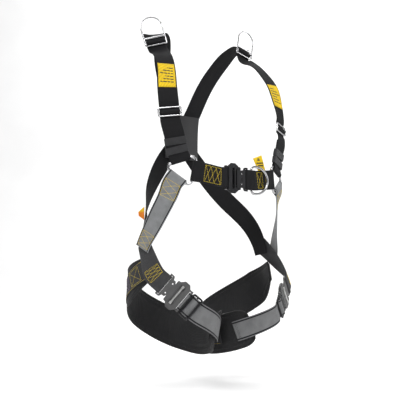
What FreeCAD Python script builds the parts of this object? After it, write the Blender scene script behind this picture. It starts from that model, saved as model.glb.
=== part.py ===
import FreeCAD
import Part
import math
import os

V = FreeCAD.Vector

# Worn full-body safety harness. Millimetres, +Z up, the wearer faces -Y and
# the wearer's left hand is on +X. The origin is midway between the two
# shoulder straps, at the height where they cross the top of the shoulders.

# Webbing and padding
WEB_W = 45.0          # width of every strap
WEB_T = 1.5           # thickness of one layer
PAD_W = 84.0          # width of the padded part of a leg loop
PAD_T = 6.0           # thickness of the padding
TRIM_T = 0.8          # thickness of labels and tags
GAP = 0.4             # clearance between webbing and metal

# Rings and frames
RING_WIRE = 3.0       # wire radius of the side rings
ADJ_W = 54.0          # outside width of the chest adjuster frames
ADJ_H = 23.0          # outside height of the chest adjuster frames
ADJ_WIRE = 2.0        # wire radius of the adjuster frames
LEG_ADJ_W = 55.2      # outside width of the leg adjuster frames
LEG_ADJ_H = 26.0      # outside height of the leg adjuster frames
DEE_WIRE = 3.0        # wire radius of the chest and back D-rings
DEE_H = 68.0          # height of the chest D-ring along its bar
DEE_D = 47.0          # reach of the chest D-ring
SH_WIRE = 2.0         # wire radius of the shoulder D-rings
SH_W = 54.0           # width of the shoulder D-rings
SH_REACH = 61.0       # from the middle bar to the top of a shoulder D-ring
SH_PITCH = 9.0        # spacing of the three base bars
SH_BUNCH = {"R": 0.0, "L": 6.0}  # how much the webbing is bunched in the ring

# Buckles, in their own axes: x along the strap, y across it, z outwards
PLATE_T = 1.8         # thickness of the base and cover plates
CAVITY = 3.6          # height of the space between the plates
BUCKLE_HALF = 16.5    # half length of the plates along the strap
TONGUE_T = 2.6        # thickness of the tongue
TONGUE_Y = 15.5       # half width of the tongue's inner blade
TONGUE_BAR = 36.0     # from the buckle's middle to the tongue's webbing bar
TONGUE_SLOT = 31.3    # from the buckle's middle to the near side of the webbing slot
BODY_BAR = -21.5      # from the buckle's middle to the body's webbing bar
BAR_R = 2.2           # radius of the webbing bars
BAR_Y = 23.5          # half length of the slot beside each bar
WINDOW_X = 6.3        # half length of the cover's window
WINDOW_Y = 23.0       # half width of the cover's window

# Positions along the shoulder strap, measured up from the side ring
KEEPERS = (24.0, 44.0)
KEEPER_L = 16.0
ADJUSTER_S = 111.0
LABEL_S = (169.0, 231.0)

# Positions along the chest belt, measured from the middle
BUCKLE_X = -12.0
FRONT_RING_X = 37.0
LEG_FRAME_X = 38.5    # from a leg buckle's middle to the adjuster frame beside it


def unit(v):
    return v * (1.0 / v.Length)


class Track:
    """A line on the wearer's surface with an outward direction at each point."""

    def __init__(self, stations):
        points = [V(*p[:3]) for p in stations]
        knots = [0.0]
        for a, b in zip(points, points[1:]):
            knots.append(knots[-1] + (b - a).Length)
        self.line = Part.BSplineCurve()
        self.line.interpolate(Points=points, Parameters=knots)
        tips = [p + unit(V(*q[3:])) * 30.0 for p, q in zip(points, stations)]
        self.tips = Part.BSplineCurve()
        self.tips.interpolate(Points=tips, Parameters=knots)
        self.length = self.line.length()

    def at(self, s):
        """Point, forward, across and outward directions at arc length s."""
        inside = min(max(s, 0.0), self.length)
        u = self.line.FirstParameter
        if inside > 0.0:
            u = self.line.parameterAtDistance(inside, u)
        point = self.line.value(u)
        forward = unit(self.line.tangent(u)[0])
        outward = self.tips.value(u) - point
        outward = unit(outward - forward * outward.dot(forward))
        across = outward.cross(forward)
        return point + forward * (s - inside), forward, across, outward

    def nearest(self, place):
        """Arc length of the point nearest to a place."""
        u = self.line.parameter(place)
        if u <= self.line.FirstParameter:
            return 0.0
        return self.line.length(self.line.FirstParameter, u)


def catmull(path, spacing):
    """Points and directions of a smooth line through a list of (s, h) points."""
    ends = [(2 * path[0][0] - path[1][0], 2 * path[0][1] - path[1][1])]
    ends += list(path)
    ends.append((2 * path[-1][0] - path[-2][0], 2 * path[-1][1] - path[-2][1]))
    knots = [0.0]
    for a, b in zip(ends, ends[1:]):
        knots.append(knots[-1] + math.sqrt(math.hypot(b[0] - a[0], b[1] - a[1])))
    slopes = [None]
    for i in range(1, len(ends) - 1):
        before = knots[i] - knots[i - 1]
        after = knots[i + 1] - knots[i]
        slope = []
        for k in (0, 1):
            left = (ends[i][k] - ends[i - 1][k]) / before
            right = (ends[i + 1][k] - ends[i][k]) / after
            slope.append((left * after + right * before) / (before + after))
        slopes.append(slope)
    out = []
    for i in range(1, len(ends) - 2):
        span = knots[i + 1] - knots[i]
        reach = math.hypot(ends[i + 1][0] - ends[i][0], ends[i + 1][1] - ends[i][1])
        count = max(2, int(math.ceil(reach / spacing)))
        for j in range(count + (i == len(ends) - 3)):
            t = float(j) / count
            place = []
            course = []
            for k in (0, 1):
                a = ends[i][k]
                b = ends[i + 1][k]
                ta = slopes[i][k] * span
                tb = slopes[i + 1][k] * span
                place.append(
                    (2 * t**3 - 3 * t**2 + 1) * a + (t**3 - 2 * t**2 + t) * ta
                    + (3 * t**2 - 2 * t**3) * b + (t**3 - t**2) * tb
                )
                course.append(
                    (6 * t**2 - 6 * t) * a + (3 * t**2 - 4 * t + 1) * ta
                    + (6 * t - 6 * t**2) * b + (3 * t**2 - 2 * t) * tb
                )
            size = math.hypot(*course)
            out.append((place[0], place[1], course[0] / size, course[1] / size))
    return out


def ribbon(track, path, width=WEB_W, thick=WEB_T, spacing=9.0):
    """Flat webbing that follows (s, h) points along a track."""
    rails = [[], [], [], []]
    knots = [0.0]
    last = None
    for s, h, ds, dh in catmull(path, spacing):
        point, forward, across, outward = track.at(s)
        wide = width(s) if callable(width) else width
        centre = point + outward * h
        through = outward * ds - forward * dh
        if last is not None:
            knots.append(knots[-1] + (centre - last).Length)
        last = centre
        for rail, (a, b) in zip(rails, ((-1, -1), (1, -1), (1, 1), (-1, 1))):
            rail.append(centre + across * (a * wide / 2) + through * (b * thick / 2))
    curves = []
    for rail in rails:
        curve = Part.BSplineCurve()
        curve.interpolate(Points=rail, Parameters=knots)
        curves.append(curve)
    faces = []
    cuts = list(range(0, len(knots) - 3, 5)) + [len(knots) - 1]
    for a, b in zip(cuts, cuts[1:]):
        edges = [curve.toShape(knots[a], knots[b]) for curve in curves]
        for i in range(4):
            faces.append(Part.makeRuledSurface(edges[i], edges[(i + 1) % 4], 1))
    for end in (0, -1):
        loop = [rail[end] for rail in rails]
        faces.append(Part.Face(Part.makePolygon(loop + loop[:1])))
    shell = Part.Shell(faces)
    shell.sewShape()
    solid = Part.Solid(shell)
    if solid.Volume < 0:
        shell.reverse()
        solid = Part.Solid(shell)
    return solid


def turn(s, h, radius, opens):
    """Half circle of webbing round a bar; opens is +1 if it comes back to higher s."""
    points = []
    for degrees in (-60, -30, 0, 30, 60):
        a = math.radians(degrees)
        points.append((s - opens * radius * math.cos(a), h + radius * math.sin(a)))
    return points


def place(shape, origin, forward, across, outward):
    """Move a shape from local axes (x forward, y across, z outward) to the world."""
    m = FreeCAD.Matrix(
        forward.x, across.x, outward.x, origin.x,
        forward.y, across.y, outward.y, origin.y,
        forward.z, across.z, outward.z, origin.z,
        0, 0, 0, 1,
    )
    moved = shape.copy()
    moved.Placement = FreeCAD.Placement(m).multiply(moved.Placement)
    return moved


def mirrored(shape):
    return shape.mirror(V(0, 0, 0), V(1, 0, 0))


def rod(a, b, radius):
    return Part.makeCylinder(radius, (b - a).Length, a, b - a)


def merged(pieces):
    return pieces[0].fuse(pieces[1:]).removeSplitter()


def wire_loop(corners, wire):
    """Closed loop of round wire; corners are (x, y, bend radius)."""
    count = len(corners)
    starts = []
    stops = []
    pieces = []
    for i in range(count):
        here = V(corners[i][0], corners[i][1], 0)
        a = unit(V(corners[i - 1][0], corners[i - 1][1], 0) - here)
        b = unit(V(corners[(i + 1) % count][0], corners[(i + 1) % count][1], 0) - here)
        half = math.acos(a.dot(b)) / 2
        bend = corners[i][2]
        starts.append(here + a * (bend / math.tan(half)))
        stops.append(here + b * (bend / math.tan(half)))
        centre = here + unit(a + b) * (bend / math.sin(half))
        disc = Part.Face(Part.Wire(Part.makeCircle(wire, starts[i], a)))
        side = 1 if (a * -1).cross(b).z > 0 else -1
        pieces.append(disc.revolve(centre, V(0, 0, side), 180 - 2 * math.degrees(half)))
    for i in range(count):
        pieces.append(rod(stops[i], starts[(i + 1) % count], wire))
    return merged(pieces)


def plate(corners, low, high):
    """Flat plate between two heights; corners are (x, y, corner radius)."""
    count = len(corners)
    edges = []
    marks = []
    for i in range(count):
        here = V(corners[i][0], corners[i][1], low)
        a = unit(V(corners[i - 1][0], corners[i - 1][1], low) - here)
        b = unit(V(corners[(i + 1) % count][0], corners[(i + 1) % count][1], low) - here)
        half = math.acos(a.dot(b)) / 2
        bend = corners[i][2]
        start = here + a * (bend / math.tan(half))
        stop = here + b * (bend / math.tan(half))
        centre = here + unit(a + b) * (bend / math.sin(half))
        middle = centre + unit(here - centre) * bend
        marks.append((start, middle, stop))
    for i in range(count):
        start, middle, stop = marks[i]
        edges.append(Part.Arc(start, middle, stop).toShape())
        edges.append(Part.makeLine(stop, marks[(i + 1) % count][0]))
    return Part.Face(Part.Wire(edges)).extrude(V(0, 0, high - low))


def block(x0, x1, y0, y1, z0, z1):
    return Part.makeBox(x1 - x0, y1 - y0, z1 - z0, V(x0, y0, z0))


# ---------------------------------------------------------------- routes
# Each station is a point and the outward direction there, for the wearer's
# right side; the left side is its mirror image.

# The right side ring: its middle, its in-plane directions and its corners
RING_AT = V(-127, -104, -296)
RING_ALONG = unit(V(0.86, -0.50, 0))
RING_UP = V(0, 0, 1)
RING_OUT = RING_ALONG.cross(RING_UP)
RING_CORNERS = [(-42, 5, 9), (29, 31, 9), (15, -42, 9)]

# Where webbing has to run straight through metal: middle, forward, outward
LEG_BUCKLE = (V(-145, -107, -569), V(0.62, -0.438, -0.652), V(-0.548, -0.834, 0.04))
CHEST_BUCKLE = (V(0, -130, -311), V(1, 0, 0), V(0, -1, 0))
ADJUSTER_LINE = (V(-156, -93, -176), V(-0.06, 0.10, 0.99), V(-0.49, -0.87, 0.06))
SHOULDER_RINGS = {
    "R": (V(-152, -18, 14), V(-0.24, 0.14, 0.96), V(-0.40, -0.91, 0.03)),
    "L": (V(-116, 0, 42), V(-0.20, 0.08, 0.97), V(-0.12, -0.99, 0.03)),
}


def off_ring(a, b, run):
    """Stations square to one side of the side ring, starting at its middle."""
    middle = V((a[0] + b[0]) / 2, (a[1] + b[1]) / 2, 0)
    away = unit(V(b[1] - a[1], a[0] - b[0], 0))
    if away.dot(middle) < 0:
        away = away * -1
    points = [middle, middle + away * (run / 2), middle + away * run]
    places = [RING_AT + RING_ALONG * p.x + RING_UP * p.y for p in points]
    return [(p.x, p.y, p.z) + tuple(RING_OUT) for p in places]


def straight(line, offsets):
    """Stations on a straight stretch through a piece of metal."""
    middle, forward, outward = line
    places = [middle + unit(forward) * k for k in offsets]
    return [(p.x, p.y, p.z) + tuple(outward) for p in places]


def shoulder_track(side):
    stations = off_ring(RING_CORNERS[0], RING_CORNERS[1], 20.0) + [
        (-148, -97, -220, -0.50, -0.86, 0.04),
    ] + straight(ADJUSTER_LINE, (-18, 0, 18)) + [
        (-156, -79, -100, -0.32, -0.90, 0.28),
        (-152, -66, -58, -0.20, -0.89, 0.40),
    ]
    if side == "R":
        stations += [(-150, -46, -26, -0.26, -0.86, 0.42)]
        stations += straight(SHOULDER_RINGS["R"], (-15, -8, 0, 8, 15))
        stations += [(-146, 1, 38, -0.30, -0.60, 0.74), (-126, 22, 48, -0.16, -0.06, 0.98)]
    else:
        stations += [(-142, -48, -26, -0.20, -0.84, 0.50), (-124, -22, 6, -0.18, -0.86, 0.46)]
        stations += straight(SHOULDER_RINGS["L"], (-16, -8, 0, 8, 15))
        stations += [(-117, 17, 62, -0.08, -0.30, 0.95)]
    return Track(stations + [
        (-98, 48, 42, -0.06, 0.48, 0.87),
        (-82, 72, 12, -0.03, 0.80, 0.60),
        (-60, 94, -34, -0.02, 0.92, 0.38),
        (-34, 112, -104, -0.02, 0.98, 0.20),
        (0, 121, -172, 0.00, 1.00, 0.00),
        (44, 119, -230, 0.12, 0.99, 0.00),
        (86, 102, -288, 0.42, 0.91, 0.00),
        (118, 74, -336, 0.72, 0.69, 0.00),
        (143, 38, -380, 0.92, 0.38, 0.00),
        (158, 13, -426, 0.98, 0.18, 0.00),
        (164, 3, -468, 0.99, 0.02, 0.00),
    ])


SHOULDERS = {side: shoulder_track(side) for side in ("R", "L")}
SHOULDER = SHOULDERS["R"]

BELT_RIGHT = off_ring(RING_CORNERS[1], RING_CORNERS[2], 16.0) + [(-68, -126, -308, -0.18, -0.98, 0.00)]
BELT_LEFT = [(-x, y, z, -nx, ny, nz) for x, y, z, nx, ny, nz in reversed(BELT_RIGHT)]
BELT = Track(BELT_RIGHT + straight(CHEST_BUCKLE, (-50, -34, -17, 0, 24, 48)) + BELT_LEFT)

HIP = Track(off_ring(RING_CORNERS[2], RING_CORNERS[0], 12.0) + [
    (-151, -82, -348, -0.70, -0.71, 0.00),
    (-162, -61, -390, -0.82, -0.57, 0.00),
    (-173, -40, -430, -0.93, -0.36, 0.00),
    (-181, -25, -460, -0.98, -0.20, 0.00),
    (-182, -21, -468, -0.98, -0.20, 0.00),
])

THIGH = Track([
    (-168, 7, -446, -0.99, -0.05, 0.00),
    (-172, -12, -462, -0.97, -0.20, 0.00),
    (-177, -36, -485, -0.92, -0.38, 0.00),
    (-182, -61, -510, -0.76, -0.65, 0.00),
] + straight(LEG_BUCKLE, (-54, -44, -34, -18, 0, 28, 56)) + [
    (-84, -134, -620, -0.12, -0.99, -0.10),
    (-53, -119, -634, 0.32, -0.94, -0.12),
    (-29, -94, -646, 0.68, -0.72, -0.12),
    (-22, -83, -650, 0.75, -0.66, -0.12),
])

LOOP = Track([
    (-50, -104, -635, 0.30, -0.94, -0.12),
    (-36, -92, -642, 0.52, -0.84, -0.14),
    (-21, -66, -651, 0.82, -0.55, -0.14),
    (-12, -28, -658, 0.98, -0.18, -0.10),
    (-11, 12, -661, 1.00, 0.10, -0.10),
    (-19, 52, -656, 0.86, 0.50, -0.10),
    (-43, 86, -643, 0.52, 0.85, -0.10),
    (-80, 105, -622, 0.10, 0.99, -0.08),
    (-120, 103, -599, -0.32, 0.94, -0.05),
    (-154, 83, -576, -0.68, 0.73, 0.00),
    (-176, 53, -554, -0.90, 0.44, 0.00),
    (-179, 14, -530, -1.00, 0.02, 0.00),
    (-167, -24, -510, -0.95, -0.32, 0.00),
])

# ---------------------------------------------------------------- straps

LAY = WEB_T / 2 + 0.15                  # one layer's middle when two lie together
RING_TURN = RING_WIRE + GAP + WEB_T / 2 + 0.2
BAR_TURN = BAR_R + GAP + WEB_T / 2 + 0.2
DEE_TURN = DEE_WIRE + GAP + WEB_T / 2 + 0.3
ADJ_BEND = ADJ_WIRE + GAP + WEB_T / 2 + 0.5
LEG_BEND = BAR_R + GAP + WEB_T / 2 + 0.8
SH_BEND = SH_WIRE + GAP + WEB_T / 2 + 0.5
SH_ROCK = 1.0                           # room for a shoulder ring to rock back


def round_ring(s, opens):
    """Path from the inner layer round a side ring to the outer layer."""
    steps = [(14, LAY), (8, 2.7), (3, RING_TURN)]
    inner = [(s + opens * a, -b) for a, b in [(22, LAY)] + steps]
    outer = [(s + opens * a, b) for a, b in reversed(steps)]
    return inner + turn(s, 0, RING_TURN, opens) + outer + [(s + opens * 22, LAY)]


def round_bar(s, opens):
    """Path from the inner layer round a buckle's bar to the outer layer."""
    steps = [(12, LAY), (7, 2.2), (2.4, BAR_TURN)]
    inner = [(s + opens * a, -b) for a, b in [(20, LAY)] + steps]
    outer = [(s + opens * a, b) for a, b in reversed(steps)]
    return inner + turn(s, 0, BAR_TURN, opens) + outer + [(s + opens * 20, LAY)]


def weave(bars):
    """Path under and over a row of bars, given as (s, bend radius, side)."""
    first, final = bars[0], bars[-1]
    points = [(first[0] - 3.2, first[2] * (first[1] - 0.1))]
    for i, (s, radius, side) in enumerate(bars):
        if i > 0:
            last = bars[i - 1]
            slope = math.asin((last[1] + radius) / (s - last[0]))
            points.append((s - radius * math.sin(slope), side * radius * math.cos(slope)))
        points.append((s, side * radius))
        if i < len(bars) - 1:
            after = bars[i + 1]
            slope = math.asin((after[1] + radius) / (after[0] - s))
            points.append((s + radius * math.sin(slope), side * radius * math.cos(slope)))
    points.append((final[0] + 3.2, final[2] * (final[1] - 0.1)))
    return points


def shoulder_path(track, side, level):
    """Side ring, adjuster, shoulder D-ring, back crossing, opposite hip."""
    pitch = ADJ_H / 2 - ADJ_WIRE
    bars = [(ADJUSTER_S + k * pitch, ADJ_BEND, 1 - 2 * abs(k)) for k in (-1, 0, 1)]
    path = [(74, -LAY), (48, -LAY)] + round_ring(0, 1) + [(50, LAY), (80, LAY), (92, -0.6)]
    path += weave(bars) + [(ADJUSTER_S + 22, -0.8), (ADJUSTER_S + 34, 0), (190, 0), (230, 0)]
    ring_s = ring_position(side)
    slack = SH_BEND + SH_ROCK
    bars = [(ring_s - SH_PITCH, SH_BEND, -1), (ring_s, SH_BEND, 1), (ring_s + SH_PITCH, slack, -1)]
    path += [(ring_s - 34, 0), (ring_s - 18, -1.6)] + weave(bars)
    path += [(ring_s + 18, -5.6), (ring_s + 32, -4.0), (ring_s + 54, -1.0)]
    crossing = track.nearest(V(0, 121, -172))
    path += [(s, level) for s in (crossing - 70, crossing - 30, crossing, crossing + 30, crossing + 70)]
    return path + [(crossing + 140, 0), (track.length - 60, 0), (track.length, 0)]


def bunched(side):
    """Strap width, which narrows where the webbing is bunched in the ring."""
    middle = ring_position(side)
    return lambda s: WEB_W - SH_BUNCH[side] * math.exp(-((s - middle) / 30.0) ** 2)


def ring_position(side):
    return SHOULDERS[side].nearest(SHOULDER_RINGS[side][0])


def belt_right(buckle_s):
    bar = buckle_s + BODY_BAR
    path = [(42, -LAY), (32, -LAY)] + round_ring(0, 1) + [(38, LAY)]
    return path + list(reversed(round_bar(bar, -1))) + [(bar - 27, -LAY)]


def belt_left(buckle_s, dee_s):
    bar = buckle_s + TONGUE_BAR
    end = BELT.length
    dee = [(dee_s - 11, 3.2), (dee_s - 5, 4.2), (dee_s, DEE_TURN)]
    dee += [(dee_s + 5, 4.1), (dee_s + 13, 1.6), (dee_s + 20, LAY)]
    path = [(s, -h) for s, h in reversed(dee)]
    path += turn(bar, 0, BAR_TURN, 1) + dee
    path += list(reversed(round_ring(end, -1)))
    return path + [(dee_s + 30, -LAY)]


def hip_path():
    path = [(52, -LAY), (40, -LAY)] + round_ring(0, 1)
    return path + [(60, LAY), (110, LAY), (HIP.length, LAY)]


def thigh_path(buckle_s):
    bar = buckle_s - TONGUE_BAR
    path = [(0, LAY), (25, LAY), (bar - 32, LAY)]
    return path + list(reversed(round_bar(bar, -1))) + [(bar - 34, -LAY)]


def leg_path(buckle_s, frame_s):
    bar = buckle_s - BODY_BAR
    pitch = LEG_ADJ_H / 2 - BAR_R
    bars = [(frame_s + k * pitch, LEG_BEND, 1 - 2 * abs(k)) for k in (-1, 0, 1)]
    path = [(bar + 1.2, BAR_TURN)] + list(reversed(turn(bar, 0, BAR_TURN, 1)))
    path += [(bar + 2.5, -BAR_TURN)] + weave(bars)[1:]
    return path + [(frame_s + 24, -0.6), (frame_s + 36, 0), (frame_s + 60, 0), (THIGH.length, 0)]


def pad_width(s):
    """Rounded front end, full width behind the thigh, tapered outer end."""
    front = min(s / 28.0, 1.0)
    back = min((LOOP.length - s) / 75.0, 1.0)
    return PAD_W * (0.62 + 0.38 * math.sqrt(1 - (1 - front) ** 2)) * (0.6 + 0.4 * back)


# ---------------------------------------------------------------- hardware

def adjuster_frame(width, height, wire):
    x = height / 2 - wire
    y = width / 2 - wire
    loop = wire_loop([(-x, -y, 3), (x, -y, 3), (x, y, 3), (-x, y, 3)], wire)
    return merged([loop, rod(V(0, -y, 0), V(0, y, 0), wire - 0.2)])


def dee(half, reach, wire):
    """D-ring with its straight bar on the y axis and its bow towards +x."""
    bow = half * 0.98
    return wire_loop([(0, -half, 7), (reach, -half, bow), (reach, half, bow), (0, half, 7)], wire)


def shoulder_dee():
    half = SH_W / 2 - SH_WIRE
    low = [(-SH_PITCH, -half, 3), (SH_PITCH, -half, 3)]
    base = wire_loop(low + [(x, -y, r) for x, y, r in reversed(low)], SH_WIRE)
    middle = rod(V(0, -half, 0), V(0, half, 0), SH_WIRE - 0.2)
    reach = SH_REACH - SH_WIRE
    low = [(SH_PITCH + 0.6, -half, 3), (reach, -half, half - 0.5)]
    bow = wire_loop(low + [(x, -y, r) for x, y, r in reversed(low)], SH_WIRE)
    return merged([base, middle, bow])


def buckle_parts():
    """Pieces of one quick-release buckle, with the tongue leaving along +x."""
    low = -CAVITY / 2
    top = CAVITY / 2
    h = BUCKLE_HALF
    outline = [(-h, -25, 3), (-11, -31, 4), (6, -31, 4), (11, -26, 2), (h, -26, 3)]
    outline += [(x, -y, r) for x, y, r in reversed(outline)]
    base = plate(outline, low - PLATE_T, low)
    cover = plate(outline, top, top + PLATE_T)
    window = block(-WINDOW_X, WINDOW_X, -WINDOW_Y, WINDOW_Y, low - 9, top + 9)
    cover = cover.cut(window)
    rivet_spots = [(-13, 0), (12, 21), (12, -21)]
    shafts = []
    for x, y in rivet_spots:
        hole = Part.makeCylinder(2.1, 30, V(x, y, -15))
        base = base.cut(hole)
        cover = cover.cut(hole)
        shaft = Part.makeCylinder(2.0, CAVITY + 2 * PLATE_T, V(x, y, low - PLATE_T))
        head = Part.makeCylinder(3.2, 0.8, V(x, y, top + PLATE_T))
        tail = Part.makeCylinder(3.2, 0.8, V(x, y, low - PLATE_T - 0.8))
        shafts.append(merged([shaft, head, tail]))
    arms = []
    for side in (-1, 1):
        y0, y1 = sorted((side * BAR_Y, side * (BAR_Y + 3.5)))
        arm = block(BODY_BAR - BAR_R, -h + 3, y0, y1, low - PLATE_T, low)
        riser = block(BODY_BAR - BAR_R, BODY_BAR + BAR_R, y0, y1, low - 0.1, BAR_R)
        arms += [arm, riser]
    bar = rod(V(BODY_BAR, -BAR_Y - 1, 0), V(BODY_BAR, BAR_Y + 1, 0), BAR_R)
    base = merged([base, bar] + arms)

    high = top + PLATE_T + 2.6
    ends = [block(-2.6, 2.6, y - 2.6, y + 2.6, top + 0.2, high) for y in (-20.4, 20.4)]
    slat = rod(V(0, -18, top + PLATE_T + 0.4), V(0, 18, top + PLATE_T + 0.4), 1.9)
    latch = merged([slat] + ends)

    tab_outline = [(-15.8, 17.5, 0.6), (-10.6, 17.5, 0.6), (-10.6, 20, 0.4), (6.5, 20, 1)]
    tab_outline += [(6.5, 31, 2), (3.5, 34, 2), (-8, 34, 2), (-11.5, 31, 2), (-12, 27, 1), (-15.8, 24, 1)]
    tab = plate(tab_outline, low + 0.3, top - 0.3)

    coils = []
    for side in (-1, 1):
        path = Part.makeHelix(1.9, 13.4, 1.15)
        disc = Part.Wire(Part.makeCircle(0.3, V(1.15, 0, 0), V(0, 1, 0)))
        coil = Part.Wire(path.Edges).makePipeShell([disc], True, True)
        coil.rotate(V(0, 0, 0), V(1, 0, 0), -90 * side)
        coil.translate(V(-13.2, side * 3.6, 0))
        coils.append(coil)

    t = TONGUE_T / 2
    y = TONGUE_Y
    blade = plate([(-9, -8, 2), (-5, -y, 3), (28, -y, 1), (28, y, 1), (-5, y, 3), (-9, 8, 2)], -t, t)
    outline = [(17.6, -17, 1), (20, -20, 2), (25, -20, 1), (28, -27, 4), (TONGUE_BAR + 1, -27, 2)]
    wing = plate(outline + [(x, -w, r) for x, w, r in reversed(outline)], -t, t)
    slot = block(TONGUE_SLOT, TONGUE_BAR + 5, -BAR_Y, BAR_Y, -9, 9)
    tongue = blade.fuse(wing).cut(slot)
    for side in (-1, 1):
        tongue = tongue.cut(Part.makeCylinder(1.5, 20, V(21.6, side * 12, -10)))
    tongue = tongue.cut(block(20.4, 22.8, -4, 4, t - 1.0, 9))
    rail = rod(V(TONGUE_BAR, -BAR_Y - 1, 0), V(TONGUE_BAR, BAR_Y + 1, 0), BAR_R)
    cheeks = [rod(V(TONGUE_BAR, s * BAR_Y, 0), V(TONGUE_BAR, s * 27, 0), BAR_R) for s in (-1, 1)]
    tongue = merged([tongue, rail] + cheeks)

    flipped = tab.mirror(V(0, 0, 0), V(0, 1, 0))
    return {
        "body": base,
        "cover": cover,
        "latch_bar": latch,
        "tab_upper": tab,
        "tab_lower": flipped,
        "springs": Part.makeCompound(coils),
        "rivets": Part.makeCompound(shafts),
        "tongue": tongue,
    }


# ---------------------------------------------------------------- assembly

parts = {}
pair = {"R": lambda shape: shape, "L": mirrored}

belt_zero = BELT.nearest(CHEST_BUCKLE[0])
buckle_s = belt_zero + BUCKLE_X
dee_s = belt_zero + FRONT_RING_X
thigh_buckle = THIGH.nearest(LEG_BUCKLE[0])
leg_frame = thigh_buckle + LEG_FRAME_X


def on_line(line, offset):
    """Origin and axes for a piece of metal on one of the straight stretches."""
    middle, forward, outward = line
    forward = unit(forward)
    outward = unit(outward - forward * outward.dot(forward))
    return middle + forward * offset, forward, outward.cross(forward), outward


side_ring = place(wire_loop(RING_CORNERS, RING_WIRE), RING_AT, RING_ALONG, RING_UP, RING_OUT)
hip_strap = ribbon(HIP, hip_path())
thigh_strap = ribbon(THIGH, thigh_path(thigh_buckle))
leg_strap = ribbon(THIGH, leg_path(thigh_buckle, leg_frame))
pad_middle = [(0, 0), (30, 0), (80, 0), (160, 0), (260, 0), (LOOP.length, 0)]
leg_pad = ribbon(LOOP, pad_middle, pad_width, PAD_T, 14.0)
pad_top = PAD_T / 2 + 0.3 + WEB_T / 2
pad_strap = ribbon(LOOP, [(78, pad_top), (160, pad_top), (260, pad_top), (LOOP.length, pad_top)])
chest_frame = place(adjuster_frame(ADJ_W, ADJ_H, ADJ_WIRE), *SHOULDER.at(ADJUSTER_S))
leg_adjuster = place(adjuster_frame(LEG_ADJ_W, LEG_ADJ_H, BAR_R), *on_line(LEG_BUCKLE, LEG_FRAME_X))
label_path = [(s, WEB_T / 2 + 0.2 + TRIM_T / 2) for s in LABEL_S]
sleeve = block(-KEEPER_L / 2, KEEPER_L / 2, -24.6, 24.6, -3.6, 3.6)
sleeve = sleeve.cut(block(-30, 30, -23.1, 23.1, -2.3, 2.3))

for side, level in (("R", -1.5), ("L", 1.5)):
    copy = pair[side]
    track = SHOULDERS[side]
    parts["shoulder_strap_" + side] = copy(ribbon(track, shoulder_path(track, side, level), bunched(side)))
    parts["side_ring_" + side] = copy(side_ring)
    parts["chest_adjuster_" + side] = copy(chest_frame)
    parts["shoulder_ring_" + side] = copy(place(shoulder_dee(), *on_line(SHOULDER_RINGS[side], 0)))
    parts["label_" + side] = copy(ribbon(track, label_path, 39.0, TRIM_T))
    parts["hip_strap_" + side] = copy(hip_strap)
    parts["thigh_strap_" + side] = copy(thigh_strap)
    parts["leg_strap_" + side] = copy(leg_strap)
    parts["leg_pad_" + side] = copy(leg_pad)
    parts["pad_strap_" + side] = copy(pad_strap)
    parts["leg_adjuster_" + side] = copy(leg_adjuster)
    for name, s in zip(("lower", "upper"), KEEPERS):
        parts["keeper_" + name + "_" + side] = copy(place(sleeve, *SHOULDER.at(s)))
    point, forward, across, outward = on_line(LEG_BUCKLE, 0)
    for name, shape in buckle_parts().items():
        placed = place(shape, point, forward * -1, across * -1, outward)
        parts["leg_" + name + "_" + side] = copy(placed)

parts["belt_right"] = ribbon(BELT, belt_right(buckle_s))
parts["belt_left"] = ribbon(BELT, belt_left(buckle_s, dee_s))
for name, shape in buckle_parts().items():
    parts["chest_" + name] = place(shape, *on_line(CHEST_BUCKLE, BUCKLE_X))

front_ring = dee(DEE_H / 2 - DEE_WIRE, DEE_D - 2 * DEE_WIRE, DEE_WIRE)
front_ring.rotate(V(0, 0, 0), V(0, 1, 0), -8)
parts["front_ring"] = place(front_ring, *on_line(CHEST_BUCKLE, FRONT_RING_X))

# Back: the two straps cross on a pad and hold the fall-arrest D-ring.
DORSAL = Track([
    (0, 108, -96, 0.00, 0.98, 0.18),
    (0, 118, -134, 0.00, 0.99, 0.10),
    (0, 121, -172, 0.00, 1.00, 0.00),
    (0, 121, -212, 0.00, 1.00, -0.02),
    (0, 119, -250, 0.00, 1.00, -0.04),
])
dorsal_s = DORSAL.nearest(V(0, 121, -172))
parts["dorsal_plate"] = ribbon(DORSAL, [(18, -6.6), (dorsal_s, -6.6), (dorsal_s + 55, -6.6)], 96.0, 3.0)
lift = 3.5 + DEE_WIRE
crown = lift + DEE_WIRE + GAP + WEB_T / 2
hump = [(-38, 4.4), (-20, 4.6), (-9, 7.2), (0, crown), (9, 7.2), (20, 4.6), (38, 4.4)]
parts["dorsal_loop"] = ribbon(DORSAL, [(dorsal_s + a, b) for a, b in hump])
point, forward, across, outward = DORSAL.at(dorsal_s)
back_ring = dee(DEE_H / 2 - DEE_WIRE, DEE_D - 2 * DEE_WIRE, DEE_WIRE)
back_ring.rotate(V(0, 0, 0), V(0, 1, 0), -12)
parts["dorsal_ring"] = place(back_ring, point + outward * lift, forward, across, outward)

# Tags: one stands up behind the chest belt, one sticks out at the right hip.
point, forward, across, outward = BELT.at(dee_s + 20)
front_tag = plate([(24, 4, 1), (43, 12, 1), (24, 60, 1), (-7, 53, 1)], -TRIM_T, TRIM_T)
parts["front_tag"] = place(front_tag, point - outward * 8.6, forward, V(0, 0, 1), forward.cross(V(0, 0, 1)))
left = SHOULDERS["L"]
point, forward, across, outward = left.at(left.nearest(V(143, 38, -382)))
hip_tag = plate([(0, -16, 1), (14, -6, 1), (15, 3, 1), (0, 15, 1)], -TRIM_T, TRIM_T)
hip_tag = place(hip_tag, point + outward * 3.0, unit(V(0.62, 0.78, 0)), V(0, 0, 1), V(0.78, -0.62, 0))
parts["hip_tag"] = mirrored(hip_tag)

os.makedirs("parts", exist_ok=True)
for name, shape in parts.items():
    shape.exportStep("parts/" + name + ".step")
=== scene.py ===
import math
import random

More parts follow.
